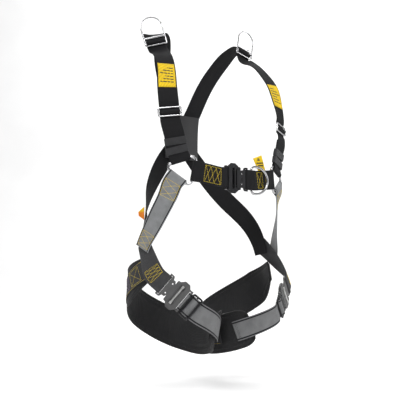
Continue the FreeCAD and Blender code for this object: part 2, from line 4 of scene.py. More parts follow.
import bmesh
import bpy
import numpy as np
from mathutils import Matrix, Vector


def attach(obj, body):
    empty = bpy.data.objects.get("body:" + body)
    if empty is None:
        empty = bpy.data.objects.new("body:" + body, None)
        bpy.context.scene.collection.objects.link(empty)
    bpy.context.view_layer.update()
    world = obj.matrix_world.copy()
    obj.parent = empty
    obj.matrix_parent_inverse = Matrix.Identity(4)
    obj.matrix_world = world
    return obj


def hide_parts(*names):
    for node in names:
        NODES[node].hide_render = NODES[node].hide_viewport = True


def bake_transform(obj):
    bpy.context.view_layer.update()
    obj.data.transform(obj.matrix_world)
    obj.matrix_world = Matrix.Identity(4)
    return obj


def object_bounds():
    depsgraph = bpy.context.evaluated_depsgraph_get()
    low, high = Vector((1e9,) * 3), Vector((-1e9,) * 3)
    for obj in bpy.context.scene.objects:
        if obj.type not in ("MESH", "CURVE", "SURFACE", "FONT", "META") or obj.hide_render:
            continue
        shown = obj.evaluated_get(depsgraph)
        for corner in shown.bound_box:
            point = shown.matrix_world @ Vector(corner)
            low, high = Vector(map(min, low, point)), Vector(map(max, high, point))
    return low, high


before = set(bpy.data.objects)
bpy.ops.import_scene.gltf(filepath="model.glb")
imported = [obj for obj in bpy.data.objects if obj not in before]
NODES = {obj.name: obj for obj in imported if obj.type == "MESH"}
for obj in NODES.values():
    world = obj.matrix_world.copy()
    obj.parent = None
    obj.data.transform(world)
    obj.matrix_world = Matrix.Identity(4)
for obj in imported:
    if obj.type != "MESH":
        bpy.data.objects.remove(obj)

CAD_LOW, CAD_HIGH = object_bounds()
random.seed(7)


def V(x, y, z):
    return Vector((x, y, z))


# Webbing and padding
WEB_W = 45.0          # width of every strap
WEB_T = 1.5           # thickness of one layer
PAD_W = 84.0          # width of the padded part of a leg loop
PAD_T = 6.0           # thickness of the padding
TRIM_T = 0.8          # thickness of labels and tags
GAP = 0.4             # clearance between webbing and metal

# Rings and frames
RING_WIRE = 3.0       # wire radius of the side rings
ADJ_H = 23.0          # outside height of the chest adjuster frames
ADJ_WIRE = 2.0        # wire radius of the adjuster frames
LEG_ADJ_H = 26.0      # outside height of the leg adjuster frames
DEE_WIRE = 3.0        # wire radius of the chest and back D-rings
SH_WIRE = 2.0         # wire radius of the shoulder D-rings
SH_PITCH = 9.0        # spacing of the three base bars
SH_BUNCH = {"R": 0.0, "L": 6.0}   # how much the webbing is bunched in the ring

# Buckles, measured along the strap
TONGUE_BAR = 36.0     # from the buckle's middle to the tongue's webbing bar
BODY_BAR = -21.5      # from the buckle's middle to the body's webbing bar
BAR_R = 2.2           # radius of the webbing bars

# Positions along the shoulder strap, measured up from the side ring
KEEPERS = (24.0, 44.0)
KEEPER_L = 16.0
ADJUSTER_S = 111.0
LABEL_S = (169.0, 231.0)

# Positions along the chest belt, measured from the middle
BUCKLE_X = -12.0
FRONT_RING_X = 37.0
LEG_FRAME_X = 38.5    # from a leg buckle's middle to the adjuster frame beside it


def unit(v):
    return v * (1.0 / v.length)


class Spline:
    """Cubic through points at given knots, with not-a-knot ends."""

    def __init__(self, points, knots):
        self.t = np.array(knots, float)
        self.p = np.array([tuple(q) for q in points], float)
        n = len(self.t)
        h = np.diff(self.t)
        a = np.zeros((n, n))
        b = np.zeros((n, 3))
        for i in range(1, n - 1):
            a[i, i - 1:i + 2] = (h[i - 1], 2 * (h[i - 1] + h[i]), h[i])
            ahead = (self.p[i + 1] - self.p[i]) / h[i]
            behind = (self.p[i] - self.p[i - 1]) / h[i - 1]
            b[i] = 6 * (ahead - behind)
        a[0, :3] = (h[1], -(h[0] + h[1]), h[0])
        a[-1, -3:] = (h[-1], -(h[-2] + h[-1]), h[-2])
        self.m = np.linalg.solve(a, b)

    def value(self, u, order=0):
        u = np.atleast_1d(np.asarray(u, float))
        i = np.clip(np.searchsorted(self.t, u, side="right") - 1, 0, len(self.t) - 2)
        h = (self.t[i + 1] - self.t[i])[:, None]
        x = (u - self.t[i])[:, None]
        y = h - x
        m0, m1, p0, p1 = self.m[i], self.m[i + 1], self.p[i], self.p[i + 1]
        if order == 0:
            bend = (m0 * y**3 + m1 * x**3) / (6 * h)
            return bend + (p0 / h - m0 * h / 6) * y + (p1 / h - m1 * h / 6) * x
        bend = (m1 * x**2 - m0 * y**2) / (2 * h)
        return bend + (p1 - p0) / h - (m1 - m0) * h / 6


class Track:
    """A line on the wearer's surface with an outward direction at each point."""

    def __init__(self, stations):
        points = [V(*p[:3]) for p in stations]
        knots = [0.0]
        for a, b in zip(points, points[1:]):
            knots.append(knots[-1] + (b - a).length)
        self.line = Spline(points, knots)
        tips = [p + unit(V(*q[3:])) * 30.0 for p, q in zip(points, stations)]
        self.tips = Spline(tips, knots)
        self.u = np.linspace(0.0, knots[-1], 60 * len(knots))
        self.dense = self.line.value(self.u)
        steps = np.linalg.norm(np.diff(self.dense, axis=0), axis=1)
        self.run = np.concatenate([[0.0], np.cumsum(steps)])
        self.length = float(self.run[-1])

    def at(self, s):
        """Point, forward, across and outward directions at arc length s."""
        inside = min(max(s, 0.0), self.length)
        u = float(np.interp(inside, self.run, self.u))
        point = Vector(self.line.value(u)[0])
        forward = unit(Vector(self.line.value(u, 1)[0]))
        outward = Vector(self.tips.value(u)[0]) - point
        outward = unit(outward - forward * outward.dot(forward))
        across = outward.cross(forward)
        return point + forward * (s - inside), forward, across, outward

    def nearest(self, place):
        """Arc length of the point nearest to a place."""
        a, b = self.dense[:-1], self.dense[1:]
        d = b - a
        t = np.clip(((np.array(place) - a) * d).sum(1) / (d * d).sum(1), 0, 1)
        gap = np.linalg.norm(a + d * t[:, None] - np.array(place), axis=1)
        i = int(gap.argmin())
        return float(self.run[i] + t[i] * (self.run[i + 1] - self.run[i]))


def catmull(path, spacing):
    """Points and directions of a smooth line through a list of (s, h) points."""
    p = np.array(path, float)
    p = np.vstack([2 * p[0] - p[1], p, 2 * p[-1] - p[-2]])
    knots = [0.0]
    for a, b in zip(p, p[1:]):
        knots.append(knots[-1] + math.sqrt(math.hypot(*(b - a))))
    slopes = [None]
    for i in range(1, len(p) - 1):
        before = knots[i] - knots[i - 1]
        after = knots[i + 1] - knots[i]
        left = (p[i] - p[i - 1]) / before
        right = (p[i + 1] - p[i]) / after
        slopes.append((left * after + right * before) / (before + after))
    out = []
    for i in range(1, len(p) - 2):
        a, b = p[i], p[i + 1]
        span = knots[i + 1] - knots[i]
        ta, tb = slopes[i] * span, slopes[i + 1] * span
        count = max(2, int(math.ceil(math.hypot(*(b - a)) / spacing)))
        for j in range(count + (i == len(p) - 3)):
            t = float(j) / count
            place = (
                (2 * t**3 - 3 * t**2 + 1) * a + (t**3 - 2 * t**2 + t) * ta
                + (3 * t**2 - 2 * t**3) * b + (t**3 - t**2) * tb
            )
            course = (
                (6 * t**2 - 6 * t) * a + (3 * t**2 - 4 * t + 1) * ta
                + (6 * t - 6 * t**2) * b + (3 * t**2 - 2 * t) * tb
            )
            out.append(place.tolist() + (course / math.hypot(*course)).tolist())
    return out


def turn(s, h, radius, opens):
    """Half circle of webbing round a bar; opens is +1 if it comes back to higher s."""
    points = []
    for degrees in (-60, -30, 0, 30, 60):
        a = math.radians(degrees)
        points.append((s - opens * radius * math.cos(a), h + radius * math.sin(a)))
    return points


# ---------------------------------------------------------------- routes
# Each station is a point and the outward direction there, for the wearer's
# right side; the left side is its mirror image.

# The right side ring: its middle, its in-plane directions and its corners
RING_AT = V(-127, -104, -296)
RING_ALONG = unit(V(0.86, -0.50, 0))
RING_UP = V(0, 0, 1)
RING_OUT = RING_ALONG.cross(RING_UP)
RING_CORNERS = [(-42, 5, 9), (29, 31, 9), (15, -42, 9)]

# Where webbing has to run straight through metal: middle, forward, outward
LEG_BUCKLE = (V(-145, -107, -569), V(0.62, -0.438, -0.652), V(-0.548, -0.834, 0.04))
CHEST_BUCKLE = (V(0, -130, -311), V(1, 0, 0), V(0, -1, 0))
ADJUSTER_LINE = (V(-156, -93, -176), V(-0.06, 0.10, 0.99), V(-0.49, -0.87, 0.06))
SHOULDER_RINGS = {
    "R": (V(-152, -18, 14), V(-0.24, 0.14, 0.96), V(-0.40, -0.91, 0.03)),
    "L": (V(-116, 0, 42), V(-0.20, 0.08, 0.97), V(-0.12, -0.99, 0.03)),
}


CROSSING = V(0, 121, -172)              # where the straps cross on the back


def off_ring(a, b, run):
    """Stations square to one side of the side ring, starting at its middle."""
    middle = V((a[0] + b[0]) / 2, (a[1] + b[1]) / 2, 0)
    away = unit(V(b[1] - a[1], a[0] - b[0], 0))
    if away.dot(middle) < 0:
        away = away * -1
    points = [middle, middle + away * (run / 2), middle + away * run]
    places = [RING_AT + RING_ALONG * p.x + RING_UP * p.y for p in points]
    return [(p.x, p.y, p.z) + tuple(RING_OUT) for p in places]


def straight(line, offsets):
    """Stations on a straight stretch through a piece of metal."""
    middle, forward, outward = line
    places = [middle + unit(forward) * k for k in offsets]
    return [(p.x, p.y, p.z) + tuple(outward) for p in places]


def shoulder_track(side):
    stations = off_ring(RING_CORNERS[0], RING_CORNERS[1], 20.0) + [
        (-148, -97, -220, -0.50, -0.86, 0.04),
    ] + straight(ADJUSTER_LINE, (-18, 0, 18)) + [
        (-156, -79, -100, -0.32, -0.90, 0.28),
        (-152, -66, -58, -0.20, -0.89, 0.40),
    ]
    if side == "R":
        stations += [(-150, -46, -26, -0.26, -0.86, 0.42)]
        stations += straight(SHOULDER_RINGS["R"], (-15, -8, 0, 8, 15))
        stations += [(-146, 1, 38, -0.30, -0.60, 0.74), (-126, 22, 48, -0.16, -0.06, 0.98)]
    else:
        stations += [(-142, -48, -26, -0.20, -0.84, 0.50), (-124, -22, 6, -0.18, -0.86, 0.46)]
        stations += straight(SHOULDER_RINGS["L"], (-16, -8, 0, 8, 15))
        stations += [(-117, 17, 62, -0.08, -0.30, 0.95)]
    return Track(stations + [
        (-98, 48, 42, -0.06, 0.48, 0.87),
        (-82, 72, 12, -0.03, 0.80, 0.60),
        (-60, 94, -34, -0.02, 0.92, 0.38),
        (-34, 112, -104, -0.02, 0.98, 0.20),
        (0, 121, -172, 0.00, 1.00, 0.00),
        (44, 119, -230, 0.12, 0.99, 0.00),
        (86, 102, -288, 0.42, 0.91, 0.00),
        (118, 74, -336, 0.72, 0.69, 0.00),
        (143, 38, -380, 0.92, 0.38, 0.00),
        (158, 13, -426, 0.98, 0.18, 0.00),
        (164, 3, -468, 0.99, 0.02, 0.00),
    ])


SHOULDERS = {side: shoulder_track(side) for side in ("R", "L")}

BELT_RIGHT = off_ring(RING_CORNERS[1], RING_CORNERS[2], 16.0)
BELT_RIGHT.append((-68, -126, -308, -0.18, -0.98, 0.00))
BELT_LEFT = [(-x, y, z, -nx, ny, nz) for x, y, z, nx, ny, nz in reversed(BELT_RIGHT)]
BELT = Track(BELT_RIGHT + straight(CHEST_BUCKLE, (-50, -34, -17, 0, 24, 48)) + BELT_LEFT)

HIP = Track(off_ring(RING_CORNERS[2], RING_CORNERS[0], 12.0) + [
    (-151, -82, -348, -0.70, -0.71, 0.00),
    (-162, -61, -390, -0.82, -0.57, 0.00),
    (-173, -40, -430, -0.93, -0.36, 0.00),
    (-181, -25, -460, -0.98, -0.20, 0.00),
    (-182, -21, -468, -0.98, -0.20, 0.00),
])

THIGH = Track([
    (-168, 7, -446, -0.99, -0.05, 0.00),
    (-172, -12, -462, -0.97, -0.20, 0.00),
    (-177, -36, -485, -0.92, -0.38, 0.00),
    (-182, -61, -510, -0.76, -0.65, 0.00),
] + straight(LEG_BUCKLE, (-54, -44, -34, -18, 0, 28, 56)) + [
    (-84, -134, -620, -0.12, -0.99, -0.10),
    (-53, -119, -634, 0.32, -0.94, -0.12),
    (-29, -94, -646, 0.68, -0.72, -0.12),
    (-22, -83, -650, 0.75, -0.66, -0.12),
])

LOOP = Track([
    (-50, -104, -635, 0.30, -0.94, -0.12),
    (-36, -92, -642, 0.52, -0.84, -0.14),
    (-21, -66, -651, 0.82, -0.55, -0.14),
    (-12, -28, -658, 0.98, -0.18, -0.10),
    (-11, 12, -661, 1.00, 0.10, -0.10),
    (-19, 52, -656, 0.86, 0.50, -0.10),
    (-43, 86, -643, 0.52, 0.85, -0.10),
    (-80, 105, -622, 0.10, 0.99, -0.08),
    (-120, 103, -599, -0.32, 0.94, -0.05),
    (-154, 83, -576, -0.68, 0.73, 0.00),
    (-176, 53, -554, -0.90, 0.44, 0.00),
    (-179, 14, -530, -1.00, 0.02, 0.00),
    (-167, -24, -510, -0.95, -0.32, 0.00),
])

# ---------------------------------------------------------------- strap paths
# A path is a list of (s, h): how far along its track, and how high above it.

LAY = WEB_T / 2 + 0.15                  # one layer's middle when two lie together
RING_TURN = RING_WIRE + GAP + WEB_T / 2 + 0.2
BAR_TURN = BAR_R + GAP + WEB_T / 2 + 0.2
DEE_TURN = DEE_WIRE + GAP + WEB_T / 2 + 0.3
ADJ_BEND = ADJ_WIRE + GAP + WEB_T / 2 + 0.5
LEG_BEND = BAR_R + GAP + WEB_T / 2 + 0.8
SH_BEND = SH_WIRE + GAP + WEB_T / 2 + 0.5
SH_ROCK = 1.0                           # room for a shoulder ring to rock back
BAR_LEAD = 3.2                          # how far the curve round a row's end bars goes past them


def fold(s, opens, radius, reach, steps):
    """Path from the inner layer round a bar to the outer layer."""
    inner = [(s + opens * a, -b) for a, b in [(reach, LAY)] + steps]
    outer = [(s + opens * a, b) for a, b in reversed(steps)]
    return inner + turn(s, 0, radius, opens) + outer + [(s + opens * reach, LAY)]


def round_ring(s, opens):
    return fold(s, opens, RING_TURN, 22, [(14, LAY), (8, 2.7), (3, RING_TURN)])


def round_bar(s, opens):
    return fold(s, opens, BAR_TURN, 20, [(12, LAY), (7, 2.2), (2.4, BAR_TURN)])


def weave(bars):
    """Path under and over a row of bars, given as (s, bend radius, side)."""
    first, final = bars[0], bars[-1]
    points = [(first[0] - BAR_LEAD, first[2] * (first[1] - 0.1))]
    for i, (s, radius, side) in enumerate(bars):
        if i > 0:
            last = bars[i - 1]
            slope = math.asin((last[1] + radius) / (s - last[0]))
            points.append((s - radius * math.sin(slope), side * radius * math.cos(slope)))
        points.append((s, side * radius))
        if i < len(bars) - 1:
            after = bars[i + 1]
            slope = math.asin((after[1] + radius) / (after[0] - s))
            points.append((s + radius * math.sin(slope), side * radius * math.cos(slope)))
    points.append((final[0] + BAR_LEAD, final[2] * (final[1] - 0.1)))
    return points


def shoulder_path(track, side, level):
    """Side ring, adjuster, shoulder D-ring, back crossing, opposite hip."""
    pitch = ADJ_H / 2 - ADJ_WIRE
    bars = [(ADJUSTER_S + k * pitch, ADJ_BEND, 1 - 2 * abs(k)) for k in (-1, 0, 1)]
    path = [(74, -LAY), (48, -LAY)] + round_ring(0, 1) + [(50, LAY), (80, LAY), (92, -0.6)]
    path += weave(bars) + [(ADJUSTER_S + 22, -0.8), (ADJUSTER_S + 34, 0), (190, 0), (230, 0)]
    ring_s = ring_position(side)
    slack = SH_BEND + SH_ROCK
    bars = [(ring_s - SH_PITCH, SH_BEND, -1), (ring_s, SH_BEND, 1)]
    bars.append((ring_s + SH_PITCH, slack, -1))
    path += [(ring_s - 34, 0), (ring_s - 18, -1.6)] + weave(bars)
    path += [(ring_s + 18, -5.6), (ring_s + 32, -4.0), (ring_s + 54, -1.0)]
    crossing = track.nearest(CROSSING)
    path += [(crossing + k, level) for k in (-70, -30, 0, 30, 70)]
    return path + [(crossing + 140, 0), (track.length - 60, 0), (track.length, 0)]


def bunched(side):
    """Strap width, which narrows where the webbing is bunched in the ring."""
    middle = ring_position(side)
    return lambda s: WEB_W - SH_BUNCH[side] * math.exp(-((s - middle) / 30.0) ** 2)


def ring_position(side):
    return SHOULDERS[side].nearest(SHOULDER_RINGS[side][0])


def belt_right(buckle_s):
    bar = buckle_s + BODY_BAR
    path = [(42, -LAY), (32, -LAY)] + round_ring(0, 1) + [(38, LAY)]
    return path + list(reversed(round_bar(bar, -1))) + [(bar - 27, -LAY)]


def belt_left(buckle_s, dee_s):
    bar = buckle_s + TONGUE_BAR
    end = BELT.length
    dee = [(dee_s - 11, 3.2), (dee_s - 5, 4.2), (dee_s, DEE_TURN)]
    dee += [(dee_s + 5, 4.1), (dee_s + 13, 1.6), (dee_s + 20, LAY)]
    path = [(s, -h) for s, h in reversed(dee)]
    path += turn(bar, 0, BAR_TURN, 1) + dee
    path += list(reversed(round_ring(end, -1)))
    return path + [(dee_s + 30, -LAY)]


def hip_path():
    path = [(52, -LAY), (40, -LAY)] + round_ring(0, 1)
    return path + [(60, LAY), (110, LAY), (HIP.length, LAY)]


def thigh_path(buckle_s):
    bar = buckle_s - TONGUE_BAR
    path = [(0, LAY), (25, LAY), (bar - 32, LAY)]
    return path + list(reversed(round_bar(bar, -1))) + [(bar - 34, -LAY)]


def leg_path(buckle_s, frame_s):
    bar = buckle_s - BODY_BAR
    pitch = LEG_ADJ_H / 2 - BAR_R
    bars = [(frame_s + k * pitch, LEG_BEND, 1 - 2 * abs(k)) for k in (-1, 0, 1)]
    path = [(bar + 1.2, BAR_TURN)] + list(reversed(turn(bar, 0, BAR_TURN, 1)))
    path += [(bar + 2.5, -BAR_TURN)] + weave(bars)[1:]
    return path + [(frame_s + 24, -0.6), (frame_s + 36, 0), (frame_s + 60, 0), (THIGH.length, 0)]


def pad_width(s):
    """Rounded front end, full width behind the thigh, tapered outer end."""
    front = min(s / 28.0, 1.0)
    back = min((LOOP.length - s) / 75.0, 1.0)
    return PAD_W * (0.62 + 0.38 * math.sqrt(1 - (1 - front) ** 2)) * (0.6 + 0.4 * back)

# ---------------------------------------------------------------- materials

DARK, LIGHT = (0, 0, 0), (1, 1, 1)      # ends of a mask
EDGE_BLACK = (0.012, 0.012, 0.014)      # the stripe beside a strap's edge


def new_material(name):
    material = bpy.data.materials.new(name)
    material.use_nodes = True
    tree = material.node_tree
    shader = tree.nodes["Principled BSDF"]
    return material, tree, shader


def math_node(tree, kind, a, b=None, c=None):
    node = tree.nodes.new("ShaderNodeMath")
    node.operation = kind
    for i, x in enumerate((a, b, c)):
        if x is None:
            continue
        if isinstance(x, (int, float)):
            node.inputs[i].default_value = x
        else:
            tree.links.new(x, node.inputs[i])
    return node.outputs[0]


def times(tree, a, b):
    return math_node(tree, "MULTIPLY", a, b)


def plus(tree, a, b):
    return math_node(tree, "ADD", a, b)


def scaled(tree, x, factor, offset):
    return math_node(tree, "MULTIPLY_ADD", x, factor, offset)


def waves(tree, x, rate):
    return math_node(tree, "SINE", times(tree, x, rate))


def axes(tree, where):
    """The three values of a texture coordinate."""
    coords = tree.nodes.new("ShaderNodeTexCoord")
    split = tree.nodes.new("ShaderNodeSeparateXYZ")
    tree.links.new(coords.outputs[where], split.inputs[0])
    return split.outputs


def ramp(tree, fac, stops):
    node = tree.nodes.new("ShaderNodeValToRGB")
    while len(node.color_ramp.elements) < len(stops):
        node.color_ramp.elements.new(0.5)
    for element, (at, colour) in zip(node.color_ramp.elements, stops):
        element.position = at
        element.color = tuple(colour) + (1.0,)
    tree.links.new(fac, node.inputs[0])
    return node.outputs[0]


def noise(tree, scale, detail):
    coords = tree.nodes.new("ShaderNodeTexCoord")
    node = tree.nodes.new("ShaderNodeTexNoise")
    node.inputs["Scale"].default_value = scale
    node.inputs["Detail"].default_value = detail
    tree.links.new(coords.outputs["Object"], node.inputs["Vector"])
    return node.outputs["Fac"]


def mix(tree, fac, a, b):
    node = tree.nodes.new("ShaderNodeMix")
    node.data_type = "RGBA"
    node.blend_type = "MIX"
    for socket, x in ((node.inputs[0], fac), (node.inputs[6], a), (node.inputs[7], b)):
        if isinstance(x, tuple):
            socket.default_value = x + (1.0,)
        else:
            tree.links.new(x, socket)
    return node.outputs[2]


def bumpy(tree, shader, height, strength, distance):
    bump = tree.nodes.new("ShaderNodeBump")
    bump.inputs["Strength"].default_value = strength
    bump.inputs["Distance"].default_value = distance
    tree.links.new(height, bump.inputs["Height"])
    tree.links.new(bump.outputs[0], shader.inputs["Normal"])


def shades(tree, tone, colour, low, high, lift=0.0):
    """A colour that varies from darker to lighter with a tone; low and high are (place, factor)."""
    dark = tuple(x * low[1] for x in colour)
    light = tuple(min(1.0, x * high[1] + lift) for x in colour)
    return ramp(tree, tone, [(low[0], dark), (high[0], light)])


def webbing(name, base, edge=None, line=None, ribs=22.0, sheen=0.25):
    """Woven webbing; u is 0 to 1 across the strap and v counts strap widths along it."""
    material, tree, shader = new_material(name)
    u, v, _ = axes(tree, "UV")
    # twill: warp ribs along the strap, crossed by slanting weft
    warp = waves(tree, u, 2 * math.pi * ribs)
    lean = times(tree, math_node(tree, "PINGPONG", times(tree, u, ribs / 2), 1.0), 0.8)
    weft = waves(tree, plus(tree, times(tree, v, 30.0), lean), 2 * math.pi)
    height = plus(tree, times(tree, warp, 0.6), times(tree, weft, 0.4))
    dust = noise(tree, 60.0, 4.0)
    tone = plus(tree, scaled(tree, height, 0.12, 0.5), scaled(tree, dust, 0.5, -0.25))
    colour = shades(tree, tone, base, (0.2, 0.62), (0.8, 1.45), 0.001)
    if edge is not None:
        from_middle = math_node(tree, "ABSOLUTE", math_node(tree, "SUBTRACT", u, 0.5))
        inward = times(tree, from_middle, 2.0)
        start, stop = edge
        stripe = [(start - 0.015, DARK), (start + 0.015, LIGHT), (stop - 0.01, LIGHT), (stop + 0.015, DARK)]
        colour = mix(tree, ramp(tree, inward, stripe), colour, EDGE_BLACK)
        rim = ramp(tree, inward, [(stop - 0.005, DARK), (stop + 0.03, LIGHT)])
        colour = mix(tree, rim, colour, line)
    tree.links.new(colour, shader.inputs["Base Color"])
    tree.links.new(scaled(tree, dust, 0.2, 0.62), shader.inputs["Roughness"])
    shader.inputs["Sheen Weight"].default_value = sheen
    shader.inputs["Sheen Roughness"].default_value = 0.5
    shader.inputs["Specular IOR Level"].default_value = 0.16
    bumpy(tree, shader, height, 0.55, 0.0004)
    return material


def cloth(name, base, scale=2600.0, sheen=0.4):
    """Plain fabric for padding, bindings and trims, woven in object space."""
    material, tree, shader = new_material(name)
    x, y, z = [waves(tree, out, scale) for out in axes(tree, "Object")]
    height = plus(tree, times(tree, x, z), y)
    blotch = noise(tree, 30.0, 4.0)
    tone = plus(tree, scaled(tree, height, 0.08, 0.25), times(tree, blotch, 0.5))
    colour = shades(tree, tone, base, (0.2, 0.6), (0.8, 1.4))
    tree.links.new(colour, shader.inputs["Base Color"])
    tree.links.new(scaled(tree, blotch, 0.2, 0.66), shader.inputs["Roughness"])
    shader.inputs["Sheen Weight"].default_value = sheen
    bumpy(tree, shader, height, 0.4, 0.0004)
    return material


def two_tone(name, low, high, level, spread=0.004):
    """Cloth printed in one colour below a height and another above it."""
    material = cloth(name, low, sheen=0.1)
    tree = material.node_tree
    shader = tree.nodes["Principled BSDF"]
    shade = shader.inputs["Base Color"].links[0].from_socket
    rise = scaled(tree, axes(tree, "Object")[2], 1 / spread, 0.5 - level / spread)
    rise = ramp(tree, rise, [(0.0, DARK), (1.0, LIGHT)])
    tree.links.new(mix(tree, rise, shade, high), shader.inputs["Base Color"])
    return material


def metal(name, colour, rough, metallic=1.0, grain=0.08):
    """Metal or plastic with fine grain; a low metallic value gives a plated look."""
    material, tree, shader = new_material(name)
    fine = noise(tree, 900.0, 3.0)
    tone = scaled(tree, noise(tree, 45.0, 3.0), 0.5, times(tree, fine, 0.5))
    base = shades(tree, tone, colour, (0.3, 0.82), (0.7, 1.12))
    tree.links.new(base, shader.inputs["Base Color"])
    shader.inputs["Metallic"].default_value = metallic
    tree.links.new(scaled(tree, tone, grain * 2, rough - grain), shader.inputs["Roughness"])
    bumpy(tree, shader, fine, 0.12, 0.0003)
    return material


def coated(material, weight):
    """Add a thin clear coat."""
    shader = material.node_tree.nodes["Principled BSDF"]
    shader.inputs["Coat Weight"].default_value = weight
    shader.inputs["Coat Roughness"].default_value = 0.2
    return material


def knurled(name, axis):
    """Bright bar with fine grooves across it, along a fixed direction."""
    material = BRIGHT.copy()
    material.name = name
    tree = material.node_tree
    coords = tree.nodes.new("ShaderNodeTexCoord")
    dot = tree.nodes.new("ShaderNodeVectorMath")
    dot.operation = "DOT_PRODUCT"
    tree.links.new(coords.outputs["Object"], dot.inputs[0])
    dot.inputs[1].default_value = axis
    groove = waves(tree, dot.outputs["Value"], 2 * math.pi / GROOVE_PITCH)
    bumpy(tree, tree.nodes["Principled BSDF"], groove, 0.9, 0.0005)
    return material


GROOVE_PITCH = 0.0016     # metres between the grooves of a knurled bar
ORANGE_TOP = -0.378       # height in metres where the hip tag turns from orange to yellow
GREY_LINE = (0.30, 0.31, 0.32)
MID_LINE = (0.15, 0.15, 0.155)

BLACK_WEB = webbing("black webbing", (0.0085, 0.0085, 0.0095), sheen=0.0)
GREY_WEB = webbing("light grey webbing", (0.21, 0.215, 0.22), (0.80, 0.93), GREY_LINE, sheen=0.1)
CHARCOAL_WEB = webbing("charcoal webbing", (0.042, 0.042, 0.044), sheen=0.04)
MID_WEB = webbing("mid grey webbing", (0.155, 0.157, 0.16), (0.76, 0.90), MID_LINE, sheen=0.1)
ELASTIC = webbing("elastic", (0.034, 0.034, 0.036), ribs=16.0, sheen=0.1)
YELLOW = cloth("yellow label", (0.76, 0.49, 0.0), sheen=0.0)
ORANGE = two_tone("orange label", (0.80, 0.20, 0.005), (0.78, 0.46, 0.01), ORANGE_TOP)
INK = cloth("label ink", (0.02, 0.02, 0.02), sheen=0.0)
THREAD = cloth("yellow thread", (0.86, 0.56, 0.02), 5200.0, 0.05)
DARK_THREAD = cloth("dark thread", (0.012, 0.012, 0.012), 5200.0, 0.2)
PURPLE = cloth("purple thread", (0.16, 0.07, 0.22), 5200.0, 0.6)
PAD_CLOTH = cloth("pad cloth", (0.0055, 0.0055, 0.0065), 1800.0, 0.02)
BINDING = cloth("binding tape", (0.0035, 0.0035, 0.004), 3200.0, 0.02)
RING_STEEL = metal("polished steel", (0.46, 0.46, 0.47), 0.23, grain=0.05)
BLACK_STEEL = coated(metal("black plated steel", (0.010, 0.010, 0.012), 0.36, 0.5), 0.12)
GUNMETAL = coated(metal("gunmetal", (0.105, 0.104, 0.105), 0.42, 0.55), 0.1)
BRIGHT = metal("bright steel", (0.55, 0.55, 0.54), 0.30, 0.5)
SPRING = metal("spring steel", (0.38, 0.38, 0.40), 0.3)
PLASTIC = metal("black plastic", (0.018, 0.018, 0.02), 0.5, 0.0)

# ---------------------------------------------------------------- mesh tools

ROW_STEP = 2.5        # spacing of the rows of points along a strap
BAR_LIFT = 0.12       # how far printed bars stand off their label


def metres(p, flip=False):
    """A point's metres, mirrored for the wearer's left side."""
    return ((-p.x if flip else p.x) / 1000, p.y / 1000, p.z / 1000)


def mirrored(p, flip):
    return V(-p.x, p.y, p.z) if flip else p


def section(centre, wide, high, sides, flip=False):
    """Points round an oval; wide and high are its half axes."""
    turns = [2 * math.pi * k / sides for k in range(sides)]
    return [metres(centre + wide * math.cos(a) + high * math.sin(a), flip) for a in turns]


def skin(spans, count, first=0):
    """Quads that join each closed row of count points to the next row."""
    faces = []
    for r in range(spans):
        start = first + r * count
        for k in range(count):
            a, b = start + k, start + (k + 1) % count
            faces.append((a, b, b + count, a + count))
    return faces


def add_object(name, vertices, faces, material, uvs=None, smooth=True):
    mesh = bpy.data.meshes.new(name)
    mesh.from_pydata(vertices, [], faces)
    if uvs is not None:
        layer = mesh.uv_layers.new(name="UVMap")
        for loop in mesh.loops:
            layer.data[loop.index].uv = uvs[loop.vertex_index]
    mesh.materials.append(material)
    for polygon in mesh.polygons:
        polygon.use_smooth = smooth
    mesh.update()
    made = bpy.data.objects.new(name, mesh)
    bpy.context.scene.collection.objects.link(made)
    return made


def face_out(made):
    """Turn every face of a closed mesh outwards."""
    bm = bmesh.new()
    bm.from_mesh(made.data)
    bmesh.ops.recalc_face_normals(bm, faces=bm.faces)
    bm.to_mesh(made.data)
    bm.free()
    return made


def strip_section(wide, thick, steps=12, round_steps=3):
    """Closed outline of webbing: (across, through, u) with rounded, slightly fuller selvedges."""
    half, t = wide / 2, thick / 2
    top = []
    for i in range(steps + 1):
        y = -half + t + (wide - 2 * t) * i / steps
        rise = 1.0 + 0.10 * (abs(y) > half - 3.5)
        top.append((y, t * rise))
    turned = []
    for i in range(1, round_steps + 1):
        a = math.pi * i / (round_steps + 1)
        turned.append((half - t + t * math.sin(a), t * math.cos(a)))
    loop = top + turned + [(y, -z) for y, z in reversed(top)] + [(-y, -z) for y, z in turned]
    return [(y, z, (y + half) / wide) for y, z in loop]


def strap(name, track, path, material, width=WEB_W, thick=WEB_T, flip=False, wobble=0.0):
    """Webbing swept along (s, h) points on a track."""
    vertices, uvs = [], []
    travelled = 0.0
    last = None
    rows = catmull(path, ROW_STEP)
    for s, h, ds, dh in rows:
        point, forward, across, outward = track.at(s)
        wide = width(s) if callable(width) else width
        centre = point + outward * h
        through = outward * ds - forward * dh
        if last is not None:
            travelled += (centre - last).length
        last = centre
        outline = strip_section(wide, thick)
        for y, z, u in outline:
            cup = wobble * math.sin(travelled / 17.0) * ((y * 2 / wide) ** 2 - 0.4)
            vertices.append(metres(centre + across * y + through * (z + cup), flip))
            uvs.append((u, travelled / WEB_W))
    count = len(outline)
    faces = skin(len(rows) - 1, count)
    if flip:
        faces = [face[::-1] for face in faces]
    for r in (0, len(rows) - 1):
        ring = [r * count + i for i in range(count)]
        faces.append(ring if (r == 0) == flip else ring[::-1])
    return face_out(add_object(name, vertices, faces, material, uvs))


